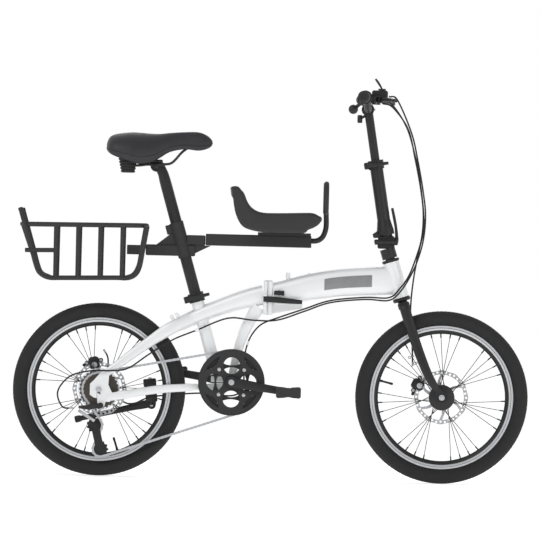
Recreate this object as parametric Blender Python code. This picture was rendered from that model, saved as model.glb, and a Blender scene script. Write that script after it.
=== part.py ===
"""Folding city bicycle with a centre frame hinge, a folding handlepost, disc brakes, a seven-speed
derailleur, a rear basket and a child seat on a rail that clamps to the seatpost.

Metres. +X is forward, +Y is the rider's left, +Z is up. The origin is on the ground, midway
between the axles. Every solid is drawn in place and then hung from the pivot of its own joint.
"""
import math

import bmesh
import bpy
from mathutils import Matrix, Vector

# ---------------------------------------------------------------- driving dimensions
WHEELBASE = 1.008
WHEEL_R = 0.254                    # 20 x 1.95 tyre on a 406 mm rim
TYRE_HALF_W = 0.025
BEAD_R = 0.2045
RIM_R = 0.2115
RIM_INNER_R = 0.187
RIM_HALF_W = 0.0125
SPOKES = 28
SPOKE_GROUPS = 7
SPOKE_STEP = math.radians(8.9)     # between neighbours in a group, at the rim
ROTOR_R = 0.080
ROTOR_T = 0.0018
FRONT_ROTOR_Y = 0.0405
REAR_ROTOR_Y = 0.0520

CRANK_LENGTH = 0.170
CRANK_ANGLE = math.radians(-8.5)   # right crank, up from +X
CHAIN_PITCH = 0.0127
CHAINRING_TEETH = 46
COG_TEETH = (28, 24, 22, 20, 18, 16, 14)
COG_PITCH_Y = 0.005
COG_Y = -0.0260                    # largest cog
DRIVEN_COG = 1                     # the chain runs on the second cog
PULLEY_TEETH = 11
CHAINRING_Y = -0.0450
GUARD_R = 0.098
BOLT_CIRCLE_R = 0.052

SEAT_TUBE_R = 0.0192
SEATPOST_R = 0.01695
SEAT_ANGLE = math.radians(16.4)    # lean back from vertical
HEAD_ANGLE = math.radians(17.3)
POST_ANGLE = math.radians(9.4)
HEAD_TUBE_R = 0.0235
BAR_HALF = 0.280
BAR_R = 0.0111
GRIP_R = 0.0165
HINGE_X = -0.0145
HINGE_Y = 0.0340
HINGE_PIN_R = 0.0040
GAP = 0.0003                       # between neighbours that touch

REAR_AXLE = Vector((-WHEELBASE / 2, 0, WHEEL_R))
FRONT_AXLE = Vector((WHEELBASE / 2, 0, WHEEL_R))
BOTTOM_BRACKET = Vector((-0.115, 0, 0.284))
HEAD_BASE = Vector((0.379, 0, 0.543))
HEAD_LENGTH = 0.112
SEAT_LINE = Vector((-0.232, 0, 0.556))       # a point on the seatpost's axis
POST_BASE = Vector((0.330, 0, 0.721))        # lower end of the handlepost tube
HANDLEBAR = Vector((0.2505, 0, 1.129))

UP = Vector((0, 0, 1))
SIDE = Vector((0, 1, 0))
SEAT_UP = Vector((-math.sin(SEAT_ANGLE), 0, math.cos(SEAT_ANGLE)))
HEAD_UP = Vector((-math.sin(HEAD_ANGLE), 0, math.cos(HEAD_ANGLE)))
POST_UP = Vector((-math.sin(POST_ANGLE), 0, math.cos(POST_ANGLE)))

# colour, roughness, metallic
MATERIALS = {
    "frame_white": ((0.86, 0.87, 0.88), 0.28, 0.0),
    "black_metal": ((0.018, 0.018, 0.020), 0.35, 0.0),
    "matte_black": ((0.022, 0.022, 0.024), 0.60, 0.0),
    "tyre_rubber": ((0.015, 0.015, 0.016), 0.80, 0.0),
    "grip_rubber": ((0.020, 0.020, 0.021), 0.75, 0.0),
    "rim_silver": ((0.62, 0.63, 0.65), 0.30, 1.0),
    "steel": ((0.55, 0.56, 0.58), 0.32, 1.0),
    "dark_steel": ((0.10, 0.09, 0.08), 0.40, 1.0),
    "clear_plastic": ((0.55, 0.57, 0.60), 0.20, 0.0),
    "saddle_cover": ((0.020, 0.020, 0.022), 0.55, 0.0),
    "seat_foam": ((0.020, 0.020, 0.021), 0.65, 0.0),
    "cable_black": ((0.015, 0.015, 0.016), 0.50, 0.0),
}


# ---------------------------------------------------------------- shape helpers
def at(point, x=0.0, y=0.0, z=0.0):
    """A point moved by an offset."""
    return Vector(point) + Vector((x, y, z))


def ring(centre, u, v, ru, rv, sides, power=2.0):
    """Points round an ellipse, or round a squarer outline when power is above 2."""
    points = []
    for i in range(sides):
        a = 2 * math.pi * (i + 0.5) / sides
        c, s = math.cos(a), math.sin(a)
        cu = math.copysign(abs(c) ** (2 / power), c)
        sv = math.copysign(abs(s) ** (2 / power), s)
        points.append(Vector(centre) + u * (ru * cu) + v * (rv * sv))
    return points


def loft(rings, closed=False):
    """Skins a list of equal rings, with flat caps unless it closes on itself."""
    bm = bmesh.new()
    loops = [[bm.verts.new(p) for p in points] for points in rings]
    count = len(loops[0])
    pairs = list(zip(loops, loops[1:]))
    if closed:
        pairs.append((loops[-1], loops[0]))
    for low, high in pairs:
        for i in range(count):
            j = (i + 1) % count
            bm.faces.new((low[i], low[j], high[j], high[i]))
    if not closed:
        bm.faces.new(list(reversed(loops[0])))
        bm.faces.new(loops[-1])
    bmesh.ops.recalc_face_normals(bm, faces=bm.faces)
    return bm


def directions(points, closed=False):
    """Unit directions along a path."""
    count = len(points)
    result = []
    for i in range(count):
        before = points[i - 1] if i > 0 or closed else points[i]
        after = points[(i + 1) % count] if i < count - 1 or closed else points[i]
        result.append((after - before).normalized())
    return result


def beam(stations, sides=12, power=2.6, closed=False):
    """A tube whose stations are (x, y, z, half width, half height); its width stays level."""
    points = [Vector(s[:3]) for s in stations]
    rings = []
    for station, tangent in zip(stations, directions(points, closed)):
        across = (SIDE - tangent * tangent.dot(SIDE)).normalized()
        upward = tangent.cross(across)
        rings.append(ring(station[:3], across, upward, station[3], station[4], sides, power))
    return loft(rings, closed)


def rod(points, radius, sides=10, closed=False):
    """A round tube along a path, without twist. radius is one number or one for each point."""
    points = [Vector(p) for p in points]
    radii = radius if isinstance(radius, (list, tuple)) else [radius] * len(points)
    tangents = directions(points, closed)
    start = UP if abs(tangents[0].z) < 0.9 else Vector((1, 0, 0))
    u = tangents[0].cross(start).normalized()
    rings = []
    for point, tangent, r in zip(points, tangents, radii):
        u = (u - tangent * tangent.dot(u)).normalized()
        rings.append(ring(point, u, tangent.cross(u), r, r, sides))
    return loft(rings, closed)


def smooth_path(points, count):
    """Points on a Catmull-Rom curve through the given points, evenly spaced along it."""
    pts = [Vector(p) for p in points]
    pts = [pts[0] * 2 - pts[1]] + pts + [pts[-1] * 2 - pts[-2]]
    dense = []
    for i in range(1, len(pts) - 2):
        a, b, c, d = pts[i - 1:i + 3]
        for step in range(16):
            t = step / 16
            dense.append(0.5 * ((b * 2) + (c - a) * t + (a * 2 - b * 5 + c * 4 - d) * t ** 2
                                + (b * 3 - a - c * 3 + d) * t ** 3))
    dense.append(pts[-2])
    lengths = [0.0]
    for p, q in zip(dense, dense[1:]):
        lengths.append(lengths[-1] + (q - p).length)
    result = []
    k = 0
    for i in range(count):
        goal = lengths[-1] * i / (count - 1)
        while k < len(dense) - 2 and lengths[k + 1] < goal:
            k += 1
        span = lengths[k + 1] - lengths[k]
        result.append(dense[k].lerp(dense[k + 1], (goal - lengths[k]) / span))
    return result


def turned(profile, centre, axis=SIDE, steps=24, start=0.0):
    """Turns a profile of (radius, distance along the axis). A profile that starts and ends at
    radius 0 is a solid; any other is closed into a hollow ring."""
    axis = Vector(axis).normalized()
    side = Vector((1, 0, 0)) if abs(axis.x) < 0.9 else UP
    u = (side - axis * axis.dot(side)).normalized()
    v = axis.cross(u)
    bm = bmesh.new()
    loops = []
    for radius, along in profile:
        middle = Vector(centre) + axis * along
        if radius == 0:
            loops.append([bm.verts.new(middle)])
            continue
        turns = [start + 2 * math.pi * i / steps for i in range(steps)]
        loops.append([bm.verts.new(middle + (u * math.cos(a) + v * math.sin(a)) * radius)
                      for a in turns])
    solid = profile[0][0] == 0
    pairs = list(zip(loops, loops[1:]))
    if not solid:
        pairs.append((loops[-1], loops[0]))
    for low, high in pairs:
        for i in range(steps):
            j = (i + 1) % steps
            corners = (low[i % len(low)], low[j % len(low)], high[j % len(high)], high[i % len(high)])
            bm.faces.new(tuple(dict.fromkeys(corners)))
    bmesh.ops.recalc_face_normals(bm, faces=bm.faces)
    return bm


def cylinder(centre, radius, half, axis=SIDE, steps=16, bore=0.0):
    """A cylinder or, with a bore, a sleeve."""
    if bore:
        return turned([(radius, half), (radius, -half), (bore, -half), (bore, half)],
                      centre, axis, steps)
    return turned([(0, -half), (radius, -half), (radius, half), (0, half)], centre, axis, steps)


def block(centre, size, along=(1, 0, 0), up=UP, bevel=0.0, segments=1):
    """A box of size (along, across, up), turned so that its length lies along a direction."""
    forward = Vector(along).normalized()
    across = Vector(up).cross(forward).normalized()
    upward = forward.cross(across)
    turn = Matrix((forward, across, upward)).transposed().to_4x4()
    bm = bmesh.new()
    bmesh.ops.create_cube(bm, size=1.0)
    for vert in bm.verts:
        vert.co = Vector((vert.co.x * size[0], vert.co.y * size[1], vert.co.z * size[2]))
    if bevel:
        bmesh.ops.bevel(bm, geom=list(bm.edges), offset=bevel, segments=segments,
                        affect="EDGES", profile=0.5, clamp_overlap=True)
    bm.transform(Matrix.Translation(Vector(centre)) @ turn)
    return bm


def circle_points(centre, radius, steps, start=0.0):
    """Points (x, z) round a circle."""
    return [(centre[0] + radius * math.cos(start + 2 * math.pi * i / steps),
             centre[1] + radius * math.sin(start + 2 * math.pi * i / steps)) for i in range(steps)]


def plate(outline, y_low, y_high, holes=()):
    """A flat plate in the XZ plane between two Y planes, with holes through it."""
    bm = bmesh.new()
    edges = []
    for points in [outline, *holes]:
        verts = [bm.verts.new((x, y_low, z)) for x, z in points]
        edges += [bm.edges.new((a, b)) for a, b in zip(verts, verts[1:] + verts[:1])]
    bmesh.ops.triangle_fill(bm, use_beauty=True, use_dissolve=False, edges=edges)
    faces = list(bm.faces)
    grown = bmesh.ops.extrude_face_region(bm, geom=faces)
    top = [e for e in grown["geom"] if isinstance(e, bmesh.types.BMVert)]
    bmesh.ops.translate(bm, verts=top, vec=(0, y_high - y_low, 0))
    bmesh.ops.recalc_face_normals(bm, faces=bm.faces)
    return bm


def sprocket_points(centre, teeth, depth=0.0042, points_per_tooth=2):
    """The toothed outline of a sprocket, centred on its pitch circle."""
    pitch_r = CHAIN_PITCH / (2 * math.sin(math.pi / teeth))
    points = []
    for i in range(teeth * points_per_tooth):
        a = 2 * math.pi * i / (teeth * points_per_tooth)
        wave = 1 if i % points_per_tooth < points_per_tooth / 2 else -1
        radius = pitch_r + wave * depth / 2
        points.append((centre[0] + radius * math.cos(a), centre[1] + radius * math.sin(a)))
    return points


def pitch_radius(teeth):
    return CHAIN_PITCH / (2 * math.sin(math.pi / teeth))


def temporary(bm):
    mesh = bpy.data.meshes.new("temporary")
    bm.to_mesh(mesh)
    bm.free()
    obj = bpy.data.objects.new("temporary", mesh)
    bpy.context.scene.collection.objects.link(obj)
    return obj


def combine(first, others, operation):
    """Applies one exact Boolean after another and returns the result as a new bmesh."""
    target = temporary(first)
    tools = [temporary(other) for other in others]
    for tool in tools:
        modifier = target.modifiers.new("combine", "BOOLEAN")
        modifier.operation = operation
        modifier.object = tool
        modifier.solver = "EXACT"
    result = bmesh.new()
    result.from_object(target, bpy.context.evaluated_depsgraph_get())
    for obj in (target, *tools):
        mesh = obj.data
        bpy.data.objects.remove(obj)
        bpy.data.meshes.remove(mesh)
    return result


def fuse(first, *others):
    return combine(first, others, "UNION")


def cut(first, *others):
    return combine(first, others, "DIFFERENCE")


# ---------------------------------------------------------------- assembly helpers
def material(name):
    """The named Principled material, made once."""
    found = bpy.data.materials.get(name)
    if found:
        return found
    colour, roughness, metallic = MATERIALS[name]
    made = bpy.data.materials.new(name)
    made.use_nodes = True
    shader = made.node_tree.nodes["Principled BSDF"]
    shader.inputs["Base Color"].default_value = (*colour, 1.0)
    shader.inputs["Roughness"].default_value = roughness
    shader.inputs["Metallic"].default_value = metallic
    made.diffuse_color = (*colour, 1.0)
    return made


def pivot(name, location, parent=None):
    """An empty on a joint's axis, which the moving pieces hang from."""
    empty = bpy.data.objects.new("pivot_" + name, None)
    empty.empty_display_size = 0.03
    bpy.context.scene.collection.objects.link(empty)
    empty.location = Vector(location)
    if parent:
        empty.parent = parent
        empty.location = Vector(location) - world_place(parent)
    return empty


def world_place(empty):
    place = Vector(empty.location)
    while empty.parent:
        empty = empty.parent
        place += empty.location
    return place


def add(name, bm, material_name, parent, smooth_angle=35):
    """Makes the named object from a mesh drawn in place, with its origin on its pivot."""
    bmesh.ops.transform(bm, matrix=Matrix.Translation(-world_place(parent)), verts=bm.verts)
    slim = bm.copy()
    bmesh.ops.dissolve_limit(slim, angle_limit=0.001, verts=slim.verts, edges=slim.edges)
    if all(edge.is_manifold for edge in slim.edges):
        bm = slim
    mesh = bpy.data.meshes.new(name)
    bm.to_mesh(mesh)
    bm.free()
    mesh.shade_smooth()
    mesh.set_sharp_from_angle(angle=math.radians(smooth_angle))
    mesh.materials.append(material(material_name))
    obj = bpy.data.objects.new(name, mesh)
    bpy.context.scene.collection.objects.link(obj)
    obj.parent = parent
    return obj


def add_cable(name, points, count, radius, parent):
    """A cable housing: a curve with a round bevel and filled caps."""
    origin = world_place(parent)
    curve = bpy.data.curves.new(name, "CURVE")
    curve.dimensions = "3D"
    curve.bevel_depth = radius
    curve.bevel_resolution = 1
    curve.use_fill_caps = True
    spline = curve.splines.new("POLY")
    places = smooth_path(points, count)
    spline.points.add(len(places) - 1)
    for point, place in zip(spline.points, places):
        point.co = (*(place - origin), 1.0)
    curve.materials.append(material("cable_black"))
    obj = bpy.data.objects.new(name, curve)
    bpy.context.scene.collection.objects.link(obj)
    obj.parent = parent
    return obj


# ---------------------------------------------------------------- wheels
WHEEL_STEPS = 24


def tyre(name, axle, parent):
    """An open-bottomed tyre carcass whose beads sit inside the rim's flanges."""
    w = TYRE_HALF_W
    side = [(BEAD_R, 0.0100), (0.2125, 0.0100), (0.2210, 0.0205), (0.2320, w), (0.2450, 0.0210),
            (WHEEL_R, 0.0015)]
    inside = [(BEAD_R, 0.0070), (0.2125, 0.0070), (0.2320, 0.0215), (0.2480, 0.0060)]
    profile = side + [(r, -y) for r, y in reversed(side)] + [(r, -y) for r, y in inside]
    profile += list(reversed(inside))
    add(name, turned(profile, axle, steps=WHEEL_STEPS), "tyre_rubber", parent)


def rim(name, axle, parent):
    """A box-section rim with two bead flanges."""
    side = [(RIM_INNER_R, 0.0040), (0.1980, RIM_HALF_W), (RIM_R, RIM_HALF_W), (RIM_R, 0.0104),
            (0.2042, 0.0104)]
    profile = side + [(r, -y) for r, y in reversed(side)]
    add(name, turned(profile, axle, steps=WHEEL_STEPS), "rim_silver", parent, 50)


def spoked_hub(name, axle, shell, flange_y, flange_r, first_angle, parent, extra=()):
    """A hub shell with its spokes laced to it in groups of four; they stop just short of the rim."""
    group = 2 * math.pi / SPOKE_GROUPS
    spokes = []
    for g in range(SPOKE_GROUPS):
        for k in range(SPOKES // SPOKE_GROUPS):
            lean = k - (SPOKES // SPOKE_GROUPS - 1) / 2
            rim_a = first_angle + g * group + lean * SPOKE_STEP
            hub_a = first_angle + g * group - lean * 3.2 * SPOKE_STEP
            y = flange_y[k % 2]
            root = at(axle, math.cos(hub_a) * (flange_r - 0.004), y, math.sin(hub_a) * (flange_r - 0.004))
            r_end = RIM_INNER_R * math.cos(math.pi / WHEEL_STEPS) - 0.0015
            tip = at(axle, math.cos(rim_a) * r_end, math.copysign(0.002, y), math.sin(rim_a) * r_end)
            spokes.append(rod([root, tip], 0.0012, 3))
    add(name, fuse(turned(shell, axle, steps=10), *extra, *spokes), "black_metal", parent)


def rotor(name, axle, y, parent):
    """A brake disc: a slotted ring on six arms round a hub spider."""
    centre = (axle.x, axle.z)
    holes = []
    for i in range(6):
        a = 2 * math.pi * i / 6
        inner, outer, half = 0.026, 0.059, 0.38
        window = []
        for step in range(4):
            angle = a - half + 2 * half * step / 3
            window.append((centre[0] + outer * math.cos(angle), centre[1] + outer * math.sin(angle)))
        for step in range(3):
            angle = a + half * (1 - step) * 0.75
            window.append((centre[0] + inner * math.cos(angle), centre[1] + inner * math.sin(angle)))
        holes.append(window)
    holes.append(circle_points(centre, 0.0102, 12))
    disc = plate(circle_points(centre, ROTOR_R, 24), y - ROTOR_T / 2, y + ROTOR_T / 2, holes)
    add(name, disc, "steel", parent)


def front_wheel(parent):
    tyre("front_tyre", FRONT_AXLE, parent)
    rim("front_rim", FRONT_AXLE, parent)
    shell = [(0.0090, -0.0325), (0.0180, -0.0325), (0.0180, -0.0290), (0.0240, -0.0285),
             (0.0240, -0.0250), (0.0150, -0.0220), (0.0150, 0.0220), (0.0240, 0.0250),
             (0.0240, 0.0285), (0.0200, 0.0300), (0.0200, FRONT_ROTOR_Y - 0.0012),
             (0.0090, FRONT_ROTOR_Y - 0.0012)]
    cover = turned([(0.0098, -0.0460), (0.0200, -0.0460), (0.0380, -0.0380), (0.0380, -0.0318),
                    (0.0098, -0.0318)], FRONT_AXLE, steps=18)
    spoked_hub("front_hub", FRONT_AXLE, shell, (-0.0268, 0.0268), 0.024, math.radians(87.5), parent,
               [cover])
    rotor("front_rotor", FRONT_AXLE, FRONT_ROTOR_Y, parent)


def rear_wheel(parent):
    tyre("rear_tyre", REAR_AXLE, parent)
    rim("rear_rim", REAR_AXLE, parent)
    shell = [(0.0095, -0.0215), (0.0170, -0.0215), (0.0240, -0.0205), (0.0240, -0.0170),
             (0.0170, -0.0140), (0.0170, 0.0300), (0.0240, 0.0330), (0.0240, 0.0365),
             (0.0200, 0.0380), (0.0200, REAR_ROTOR_Y - 0.0012), (0.0095, REAR_ROTOR_Y - 0.0012)]
    spoked_hub("rear_hub", REAR_AXLE, shell, (-0.0188, 0.0348), 0.024, math.radians(108), parent)
    rotor("rear_rotor", REAR_AXLE, REAR_ROTOR_Y, parent)


def axle_with_nuts(name, axle, inner_right, inner_left, dropout_right, dropout_left, parent):
    """A threaded axle with its cones between the dropouts and its nuts outside them."""
    shaft_r, cone_r, nut_r = 0.0048, 0.0075, 0.0086
    nut_w, tip = 0.0075, 0.0120
    left, right = dropout_left[1] + GAP, dropout_right[1] + GAP
    profile = [(0, -right - tip), (shaft_r, -right - tip), (shaft_r, -right - nut_w),
               (nut_r, -right - nut_w), (nut_r, -right), (shaft_r, -right),
               (shaft_r, -dropout_right[0] + GAP), (cone_r, -dropout_right[0] + GAP),
               (cone_r, -inner_right), (shaft_r, -inner_right), (shaft_r, inner_left),
               (cone_r, inner_left), (cone_r, dropout_left[0] - GAP),
               (shaft_r, dropout_left[0] - GAP), (shaft_r, left), (nut_r, left),
               (nut_r, left + nut_w), (shaft_r, left + nut_w), (shaft_r, left + tip),
               (0, left + tip)]
    add(name, turned(profile, axle, steps=8), "steel", parent)


def freewheel(parent):
    """Seven stepped cogs on a bored carrier; the chain's cog has its teeth drawn."""
    steps = []
    for i, teeth in enumerate(COG_TEETH):
        y = COG_Y - COG_PITCH_Y * i
        radius = pitch_radius(teeth) - (0.004 if i == DRIVEN_COG else 0.0)
        steps += [(0.0200, y + 0.0011), (radius, y + 0.0011), (radius, y - 0.0011), (0.0200, y - 0.0011)]
    profile = [(0.0105, steps[0][1] + 0.0015), (0.0200, steps[0][1] + 0.0015), *steps[1:-1],
               (0.0200, steps[-1][1] - 0.0015), (0.0105, steps[-1][1] - 0.0015)]
    y = COG_Y - COG_PITCH_Y * DRIVEN_COG
    toothed = plate(sprocket_points((REAR_AXLE.x, REAR_AXLE.z), COG_TEETH[DRIVEN_COG]),
                    y - 0.0009, y + 0.0009, [circle_points((REAR_AXLE.x, REAR_AXLE.z), 0.0300, 12)])
    add("freewheel", fuse(turned(profile, REAR_AXLE, steps=12), toothed), "dark_steel", parent)


# ---------------------------------------------------------------- rear frame
DROPOUT_Y = (0.0677, 0.0730)          # inner and outer face of a rear dropout
BEAM_PATH = [(-0.026, 0, 0.5440, 0.0260, 0.0300), (-0.060, 0, 0.5360, 0.0260, 0.0285),
             (-0.105, 0, 0.5220, 0.0255, 0.0265), (-0.150, 0, 0.5050, 0.0250, 0.0245),
             (-0.195, 0, 0.4870, 0.0245, 0.0235), (-0.235, 0, 0.4690, 0.0240, 0.0220),
             (-0.270, 0, 0.4520, 0.0225, 0.0205), (-0.287, 0, 0.4430, 0.0170, 0.0150)]
STAY_PATH = [(-0.225, 0.0120, 0.4740, 0.0090, 0.0170), (-0.262, 0.0210, 0.4560, 0.0110, 0.0185),
             (-0.289, 0.0320, 0.4430, 0.0100, 0.0190), (-0.320, 0.0385, 0.4240, 0.0085, 0.0180),
             (-0.360, 0.0410, 0.3960, 0.0080, 0.0155), (-0.410, 0.0500, 0.3590, 0.0075, 0.0140),
             (-0.455, 0.0610, 0.3240, 0.0070, 0.0120), (-0.492, 0.0700, 0.2950, 0.0045, 0.0110)]
CHAINSTAY_PATH = [(-0.128, 0.0200, 0.2720, 0.0090, 0.0100), (-0.200, 0.0275, 0.2680, 0.0085, 0.0095),
                  (-0.262, 0.0370, 0.2640, 0.0078, 0.0115), (-0.315, 0.0400, 0.2595, 0.0075, 0.0120),
                  (-0.372, 0.0460, 0.2510, 0.0072, 0.0118), (-0.412, 0.0610, 0.2430, 0.0060, 0.0120),
                  (-0.440, 0.0640, 0.2380, 0.0060, 0.0122),
                  (-0.478, 0.0700, 0.2315, 0.0045, 0.0118)]
DOWN_PATH = [(-0.040, 0, 0.5080, 0.0200, 0.0220), (-0.060, 0, 0.4760, 0.0190, 0.0185),
             (-0.078, 0, 0.4400, 0.0180, 0.0165), (-0.091, 0, 0.4050, 0.0175, 0.0150),
             (-0.100, 0, 0.3700, 0.0170, 0.0140), (-0.112, 0, 0.3000, 0.0165, 0.0140)]


def mirrored(stations):
    return [(x, -y, z, a, b) for x, y, z, a, b in stations]


def dropout(side):
    """A flat rear dropout with a slot for the axle; the right one carries the derailleur hanger."""
    x, z = REAR_AXLE.x, REAR_AXLE.z
    slot = 0.0052
    outline = [(x + 0.030, z + 0.052), (x + 0.006, z + 0.052), (x - 0.014, z + 0.028),
               (x - 0.026, z + 0.016), (x - 0.026, z - 0.016), (x - 0.014, z - 0.024),
               (x - slot, z - 0.026), (x - slot, z), (x - 0.0034, z + 0.0040), (x, z + slot + 0.0004),
               (x + 0.0034, z + 0.0040), (x + slot, z), (x + slot, z - 0.026),
               (x + 0.016, z - 0.036), (x + 0.034, z - 0.036), (x + 0.040, z - 0.010),
               (x + 0.028, z + 0.014)]
    low, high = sorted((side * DROPOUT_Y[0], side * DROPOUT_Y[1]))
    return plate(outline, low, high)


def hinge_block(side, x_low, x_high):
    """Half of the frame hinge, a welded end block with a curved outer wall."""
    block_y = 0.0225
    centre = ((x_low + x_high) / 2, -(0.0290 - block_y) / 2, 0.5355)
    return block(centre, (x_high - x_low, 0.0290 + block_y, 0.1010), bevel=0.0030)


def knuckle(z_low, z_high, x_from, x_to):
    """One barrel of the frame hinge with the lug that joins it to its block."""
    middle = (z_low + z_high) / 2
    half = (z_high - z_low) / 2
    barrel = cylinder((HINGE_X, HINGE_Y, middle), 0.0088, half, UP, 16)
    lug_y = HINGE_Y - 0.0014
    lug = block(((x_from + x_to) / 2, (0.0150 + lug_y) / 2, middle),
                (abs(x_to - x_from), lug_y - 0.0150, half * 2 - 0.0004))
    return [barrel, lug]


HINGE_SPLIT = (0.4870, 0.5180, 0.5530, 0.5840)      # heights where the knuckles meet


LATCH_PIVOT = Vector((-0.0215, -0.0365, 0.5295))


def latch_ears():
    """Two ears and a pin on the hinge's right side, which the latch lever turns on."""
    x, y, z = LATCH_PIVOT
    ears = [block((x, y + 0.0035, z + dz), (0.0100, 0.0130, 0.0035)) for dz in (0.0122, -0.0122)]
    return ears + [cylinder(LATCH_PIVOT, 0.0022, 0.0130, UP, 10)]


def rear_frame(parent):
    """The welded rear half: beam, stays, seat tube, down tube, bottom bracket shell, dropouts."""
    z0, z1, z2, z3 = HINGE_SPLIT
    tube_low = SEAT_LINE - SEAT_UP * 0.258
    tube_high = SEAT_LINE - SEAT_UP * 0.022
    seat_tube = rod([tube_low, tube_high], SEAT_TUBE_R, 14)
    shell = cylinder(BOTTOM_BRACKET, 0.0215, 0.0340, steps=20)
    parts = [hinge_block(-1, -0.0270, HINGE_X - 0.0008), seat_tube, shell,
             beam(DOWN_PATH, 8), beam(STAY_PATH, 8), beam(mirrored(STAY_PATH), 8),
             beam(CHAINSTAY_PATH, 8), beam(mirrored(CHAINSTAY_PATH), 8), dropout(1), dropout(-1)]
    parts += knuckle(z0, z1 - GAP, -0.0265, HINGE_X - 0.0008)
    parts += knuckle(z2 + GAP, z3, -0.0265, HINGE_X - 0.0008)
    parts.append(block((-0.146, 0, 0.292), (0.060, 0.022, 0.016), bevel=0.002))
    hanger = plate([(-0.5085, 0.2440), (-0.5070, 0.2060), (-0.5020, 0.1980), (-0.4920, 0.1980),
                    (-0.4860, 0.2060), (-0.4800, 0.2300)], -DROPOUT_Y[1], -DROPOUT_Y[0])
    parts.append(hanger)
    tab = plate([(-0.5160, 0.2760), (-0.5120, 0.3020), (-0.4860, 0.3120), (-0.4720, 0.2960),
                 (-0.4860, 0.2760)], DROPOUT_Y[0], DROPOUT_Y[1])
    parts.append(tab)
    parts += latch_ears()
    parts += kickstand_mount()
    welded = fuse(beam(BEAM_PATH, 10), *parts)
    bored = cut(welded,
                rod([tube_low + SEAT_UP * 0.005, tube_high + SEAT_UP * 0.03], SEATPOST_R + 0.0003, 14),
                cylinder(BOTTOM_BRACKET, 0.0178, 0.050, steps=16),
                cylinder((HINGE_X, HINGE_Y, 0.5355), HINGE_PIN_R + 0.0002, 0.08, UP, 12))
    add("rear_frame", bored, "frame_white", parent)


# ---------------------------------------------------------------- front frame
MAIN_PATH = [(-0.0020, 0, 0.5440, 0.0260, 0.0350), (0.0400, 0, 0.5520, 0.0265, 0.0375),
             (0.0900, 0, 0.5650, 0.0270, 0.0390), (0.1400, 0, 0.5755, 0.0265, 0.0400),
             (0.2000, 0, 0.5850, 0.0255, 0.0405), (0.2700, 0, 0.5905, 0.0240, 0.0415),
             (0.3350, 0, 0.5935, 0.0225, 0.0425), (0.3560, 0, 0.5950, 0.0200, 0.0420)]
BOSSES = (0.0440, 0.1080)              # x of the two threaded bosses on the main tube
BOSS_TOP = 0.6105


def front_frame(parent):
    """The welded front half: main tube, head tube and its half of the hinge."""
    z0, z1, z2, z3 = HINGE_SPLIT
    head = rod([HEAD_BASE + HEAD_UP * 0.002, HEAD_BASE + HEAD_UP * (HEAD_LENGTH - 0.002)],
               HEAD_TUBE_R, 24)
    parts = [hinge_block(1, HINGE_X + 0.0008, 0.0000), head]
    parts += knuckle(z1 + GAP, z2 - GAP, HINGE_X + 0.0008, 0.0000)
    gusset = plate([(-0.0050, 0.4880), (0.0880, 0.5060), (0.0880, 0.5320), (-0.0050, 0.5250)],
                   -0.0120, 0.0120)
    parts.append(gusset)
    for x in BOSSES:
        parts.append(cylinder((x, 0, BOSS_TOP - 0.020), 0.0065, 0.020, UP, 16))
    welded = fuse(beam(MAIN_PATH, 12, 2.8), *parts)
    clearance = [block((HINGE_X, HINGE_Y - 0.0012, (low + high) / 2), (0.0215, 0.0250, high - low + 0.0008))
                 for low, high in ((z0 - 0.010, z1), (z2, z3 + 0.010))]
    bored = cut(welded,
                rod([HEAD_BASE - HEAD_UP * 0.03, HEAD_BASE + HEAD_UP * (HEAD_LENGTH + 0.03)], 0.0172, 20),
                cylinder((HINGE_X, HINGE_Y, 0.5355), HINGE_PIN_R + 0.0002, 0.08, UP, 12),
                *clearance)
    add("front_frame", bored, "frame_white", parent)


def frame_hinge(rear, lever, catch):
    """The hinge pin, the latch lever on the right side and its safety catch."""
    pin = turned([(0, 0.4850), (0.0068, 0.4850), (0.0068, 0.4867), (HINGE_PIN_R, 0.4867),
                  (HINGE_PIN_R, 0.5843), (0.0068, 0.5843), (0.0068, 0.5860), (0, 0.5860)],
                 (HINGE_X, HINGE_Y, 0), UP, 12)
    add("hinge_pin", pin, "steel", rear)
    arm = beam([(-0.0270, -0.0375, 0.5310, 0.0040, 0.0078), (0.0000, -0.0385, 0.5300, 0.0040, 0.0088),
                (0.0450, -0.0395, 0.5270, 0.0036, 0.0080), (0.0870, -0.0410, 0.5245, 0.0030, 0.0060)],
               10)
    add("latch_lever", cut(arm, cylinder(LATCH_PIVOT, 0.0026, 0.020, UP, 10)), "black_metal", lever)
    hook = fuse(block((0.0190, -0.0335, 0.5500), (0.0300, 0.0030, 0.0130), bevel=0.0010),
                cylinder((0.0190, -0.0335, 0.5500), 0.0075, 0.0030, SIDE, 14),
                block((0.0300, -0.0370, 0.5440), (0.0070, 0.0080, 0.0040), bevel=0.0006))
    add("safety_catch", hook, "black_metal", catch)


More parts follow.
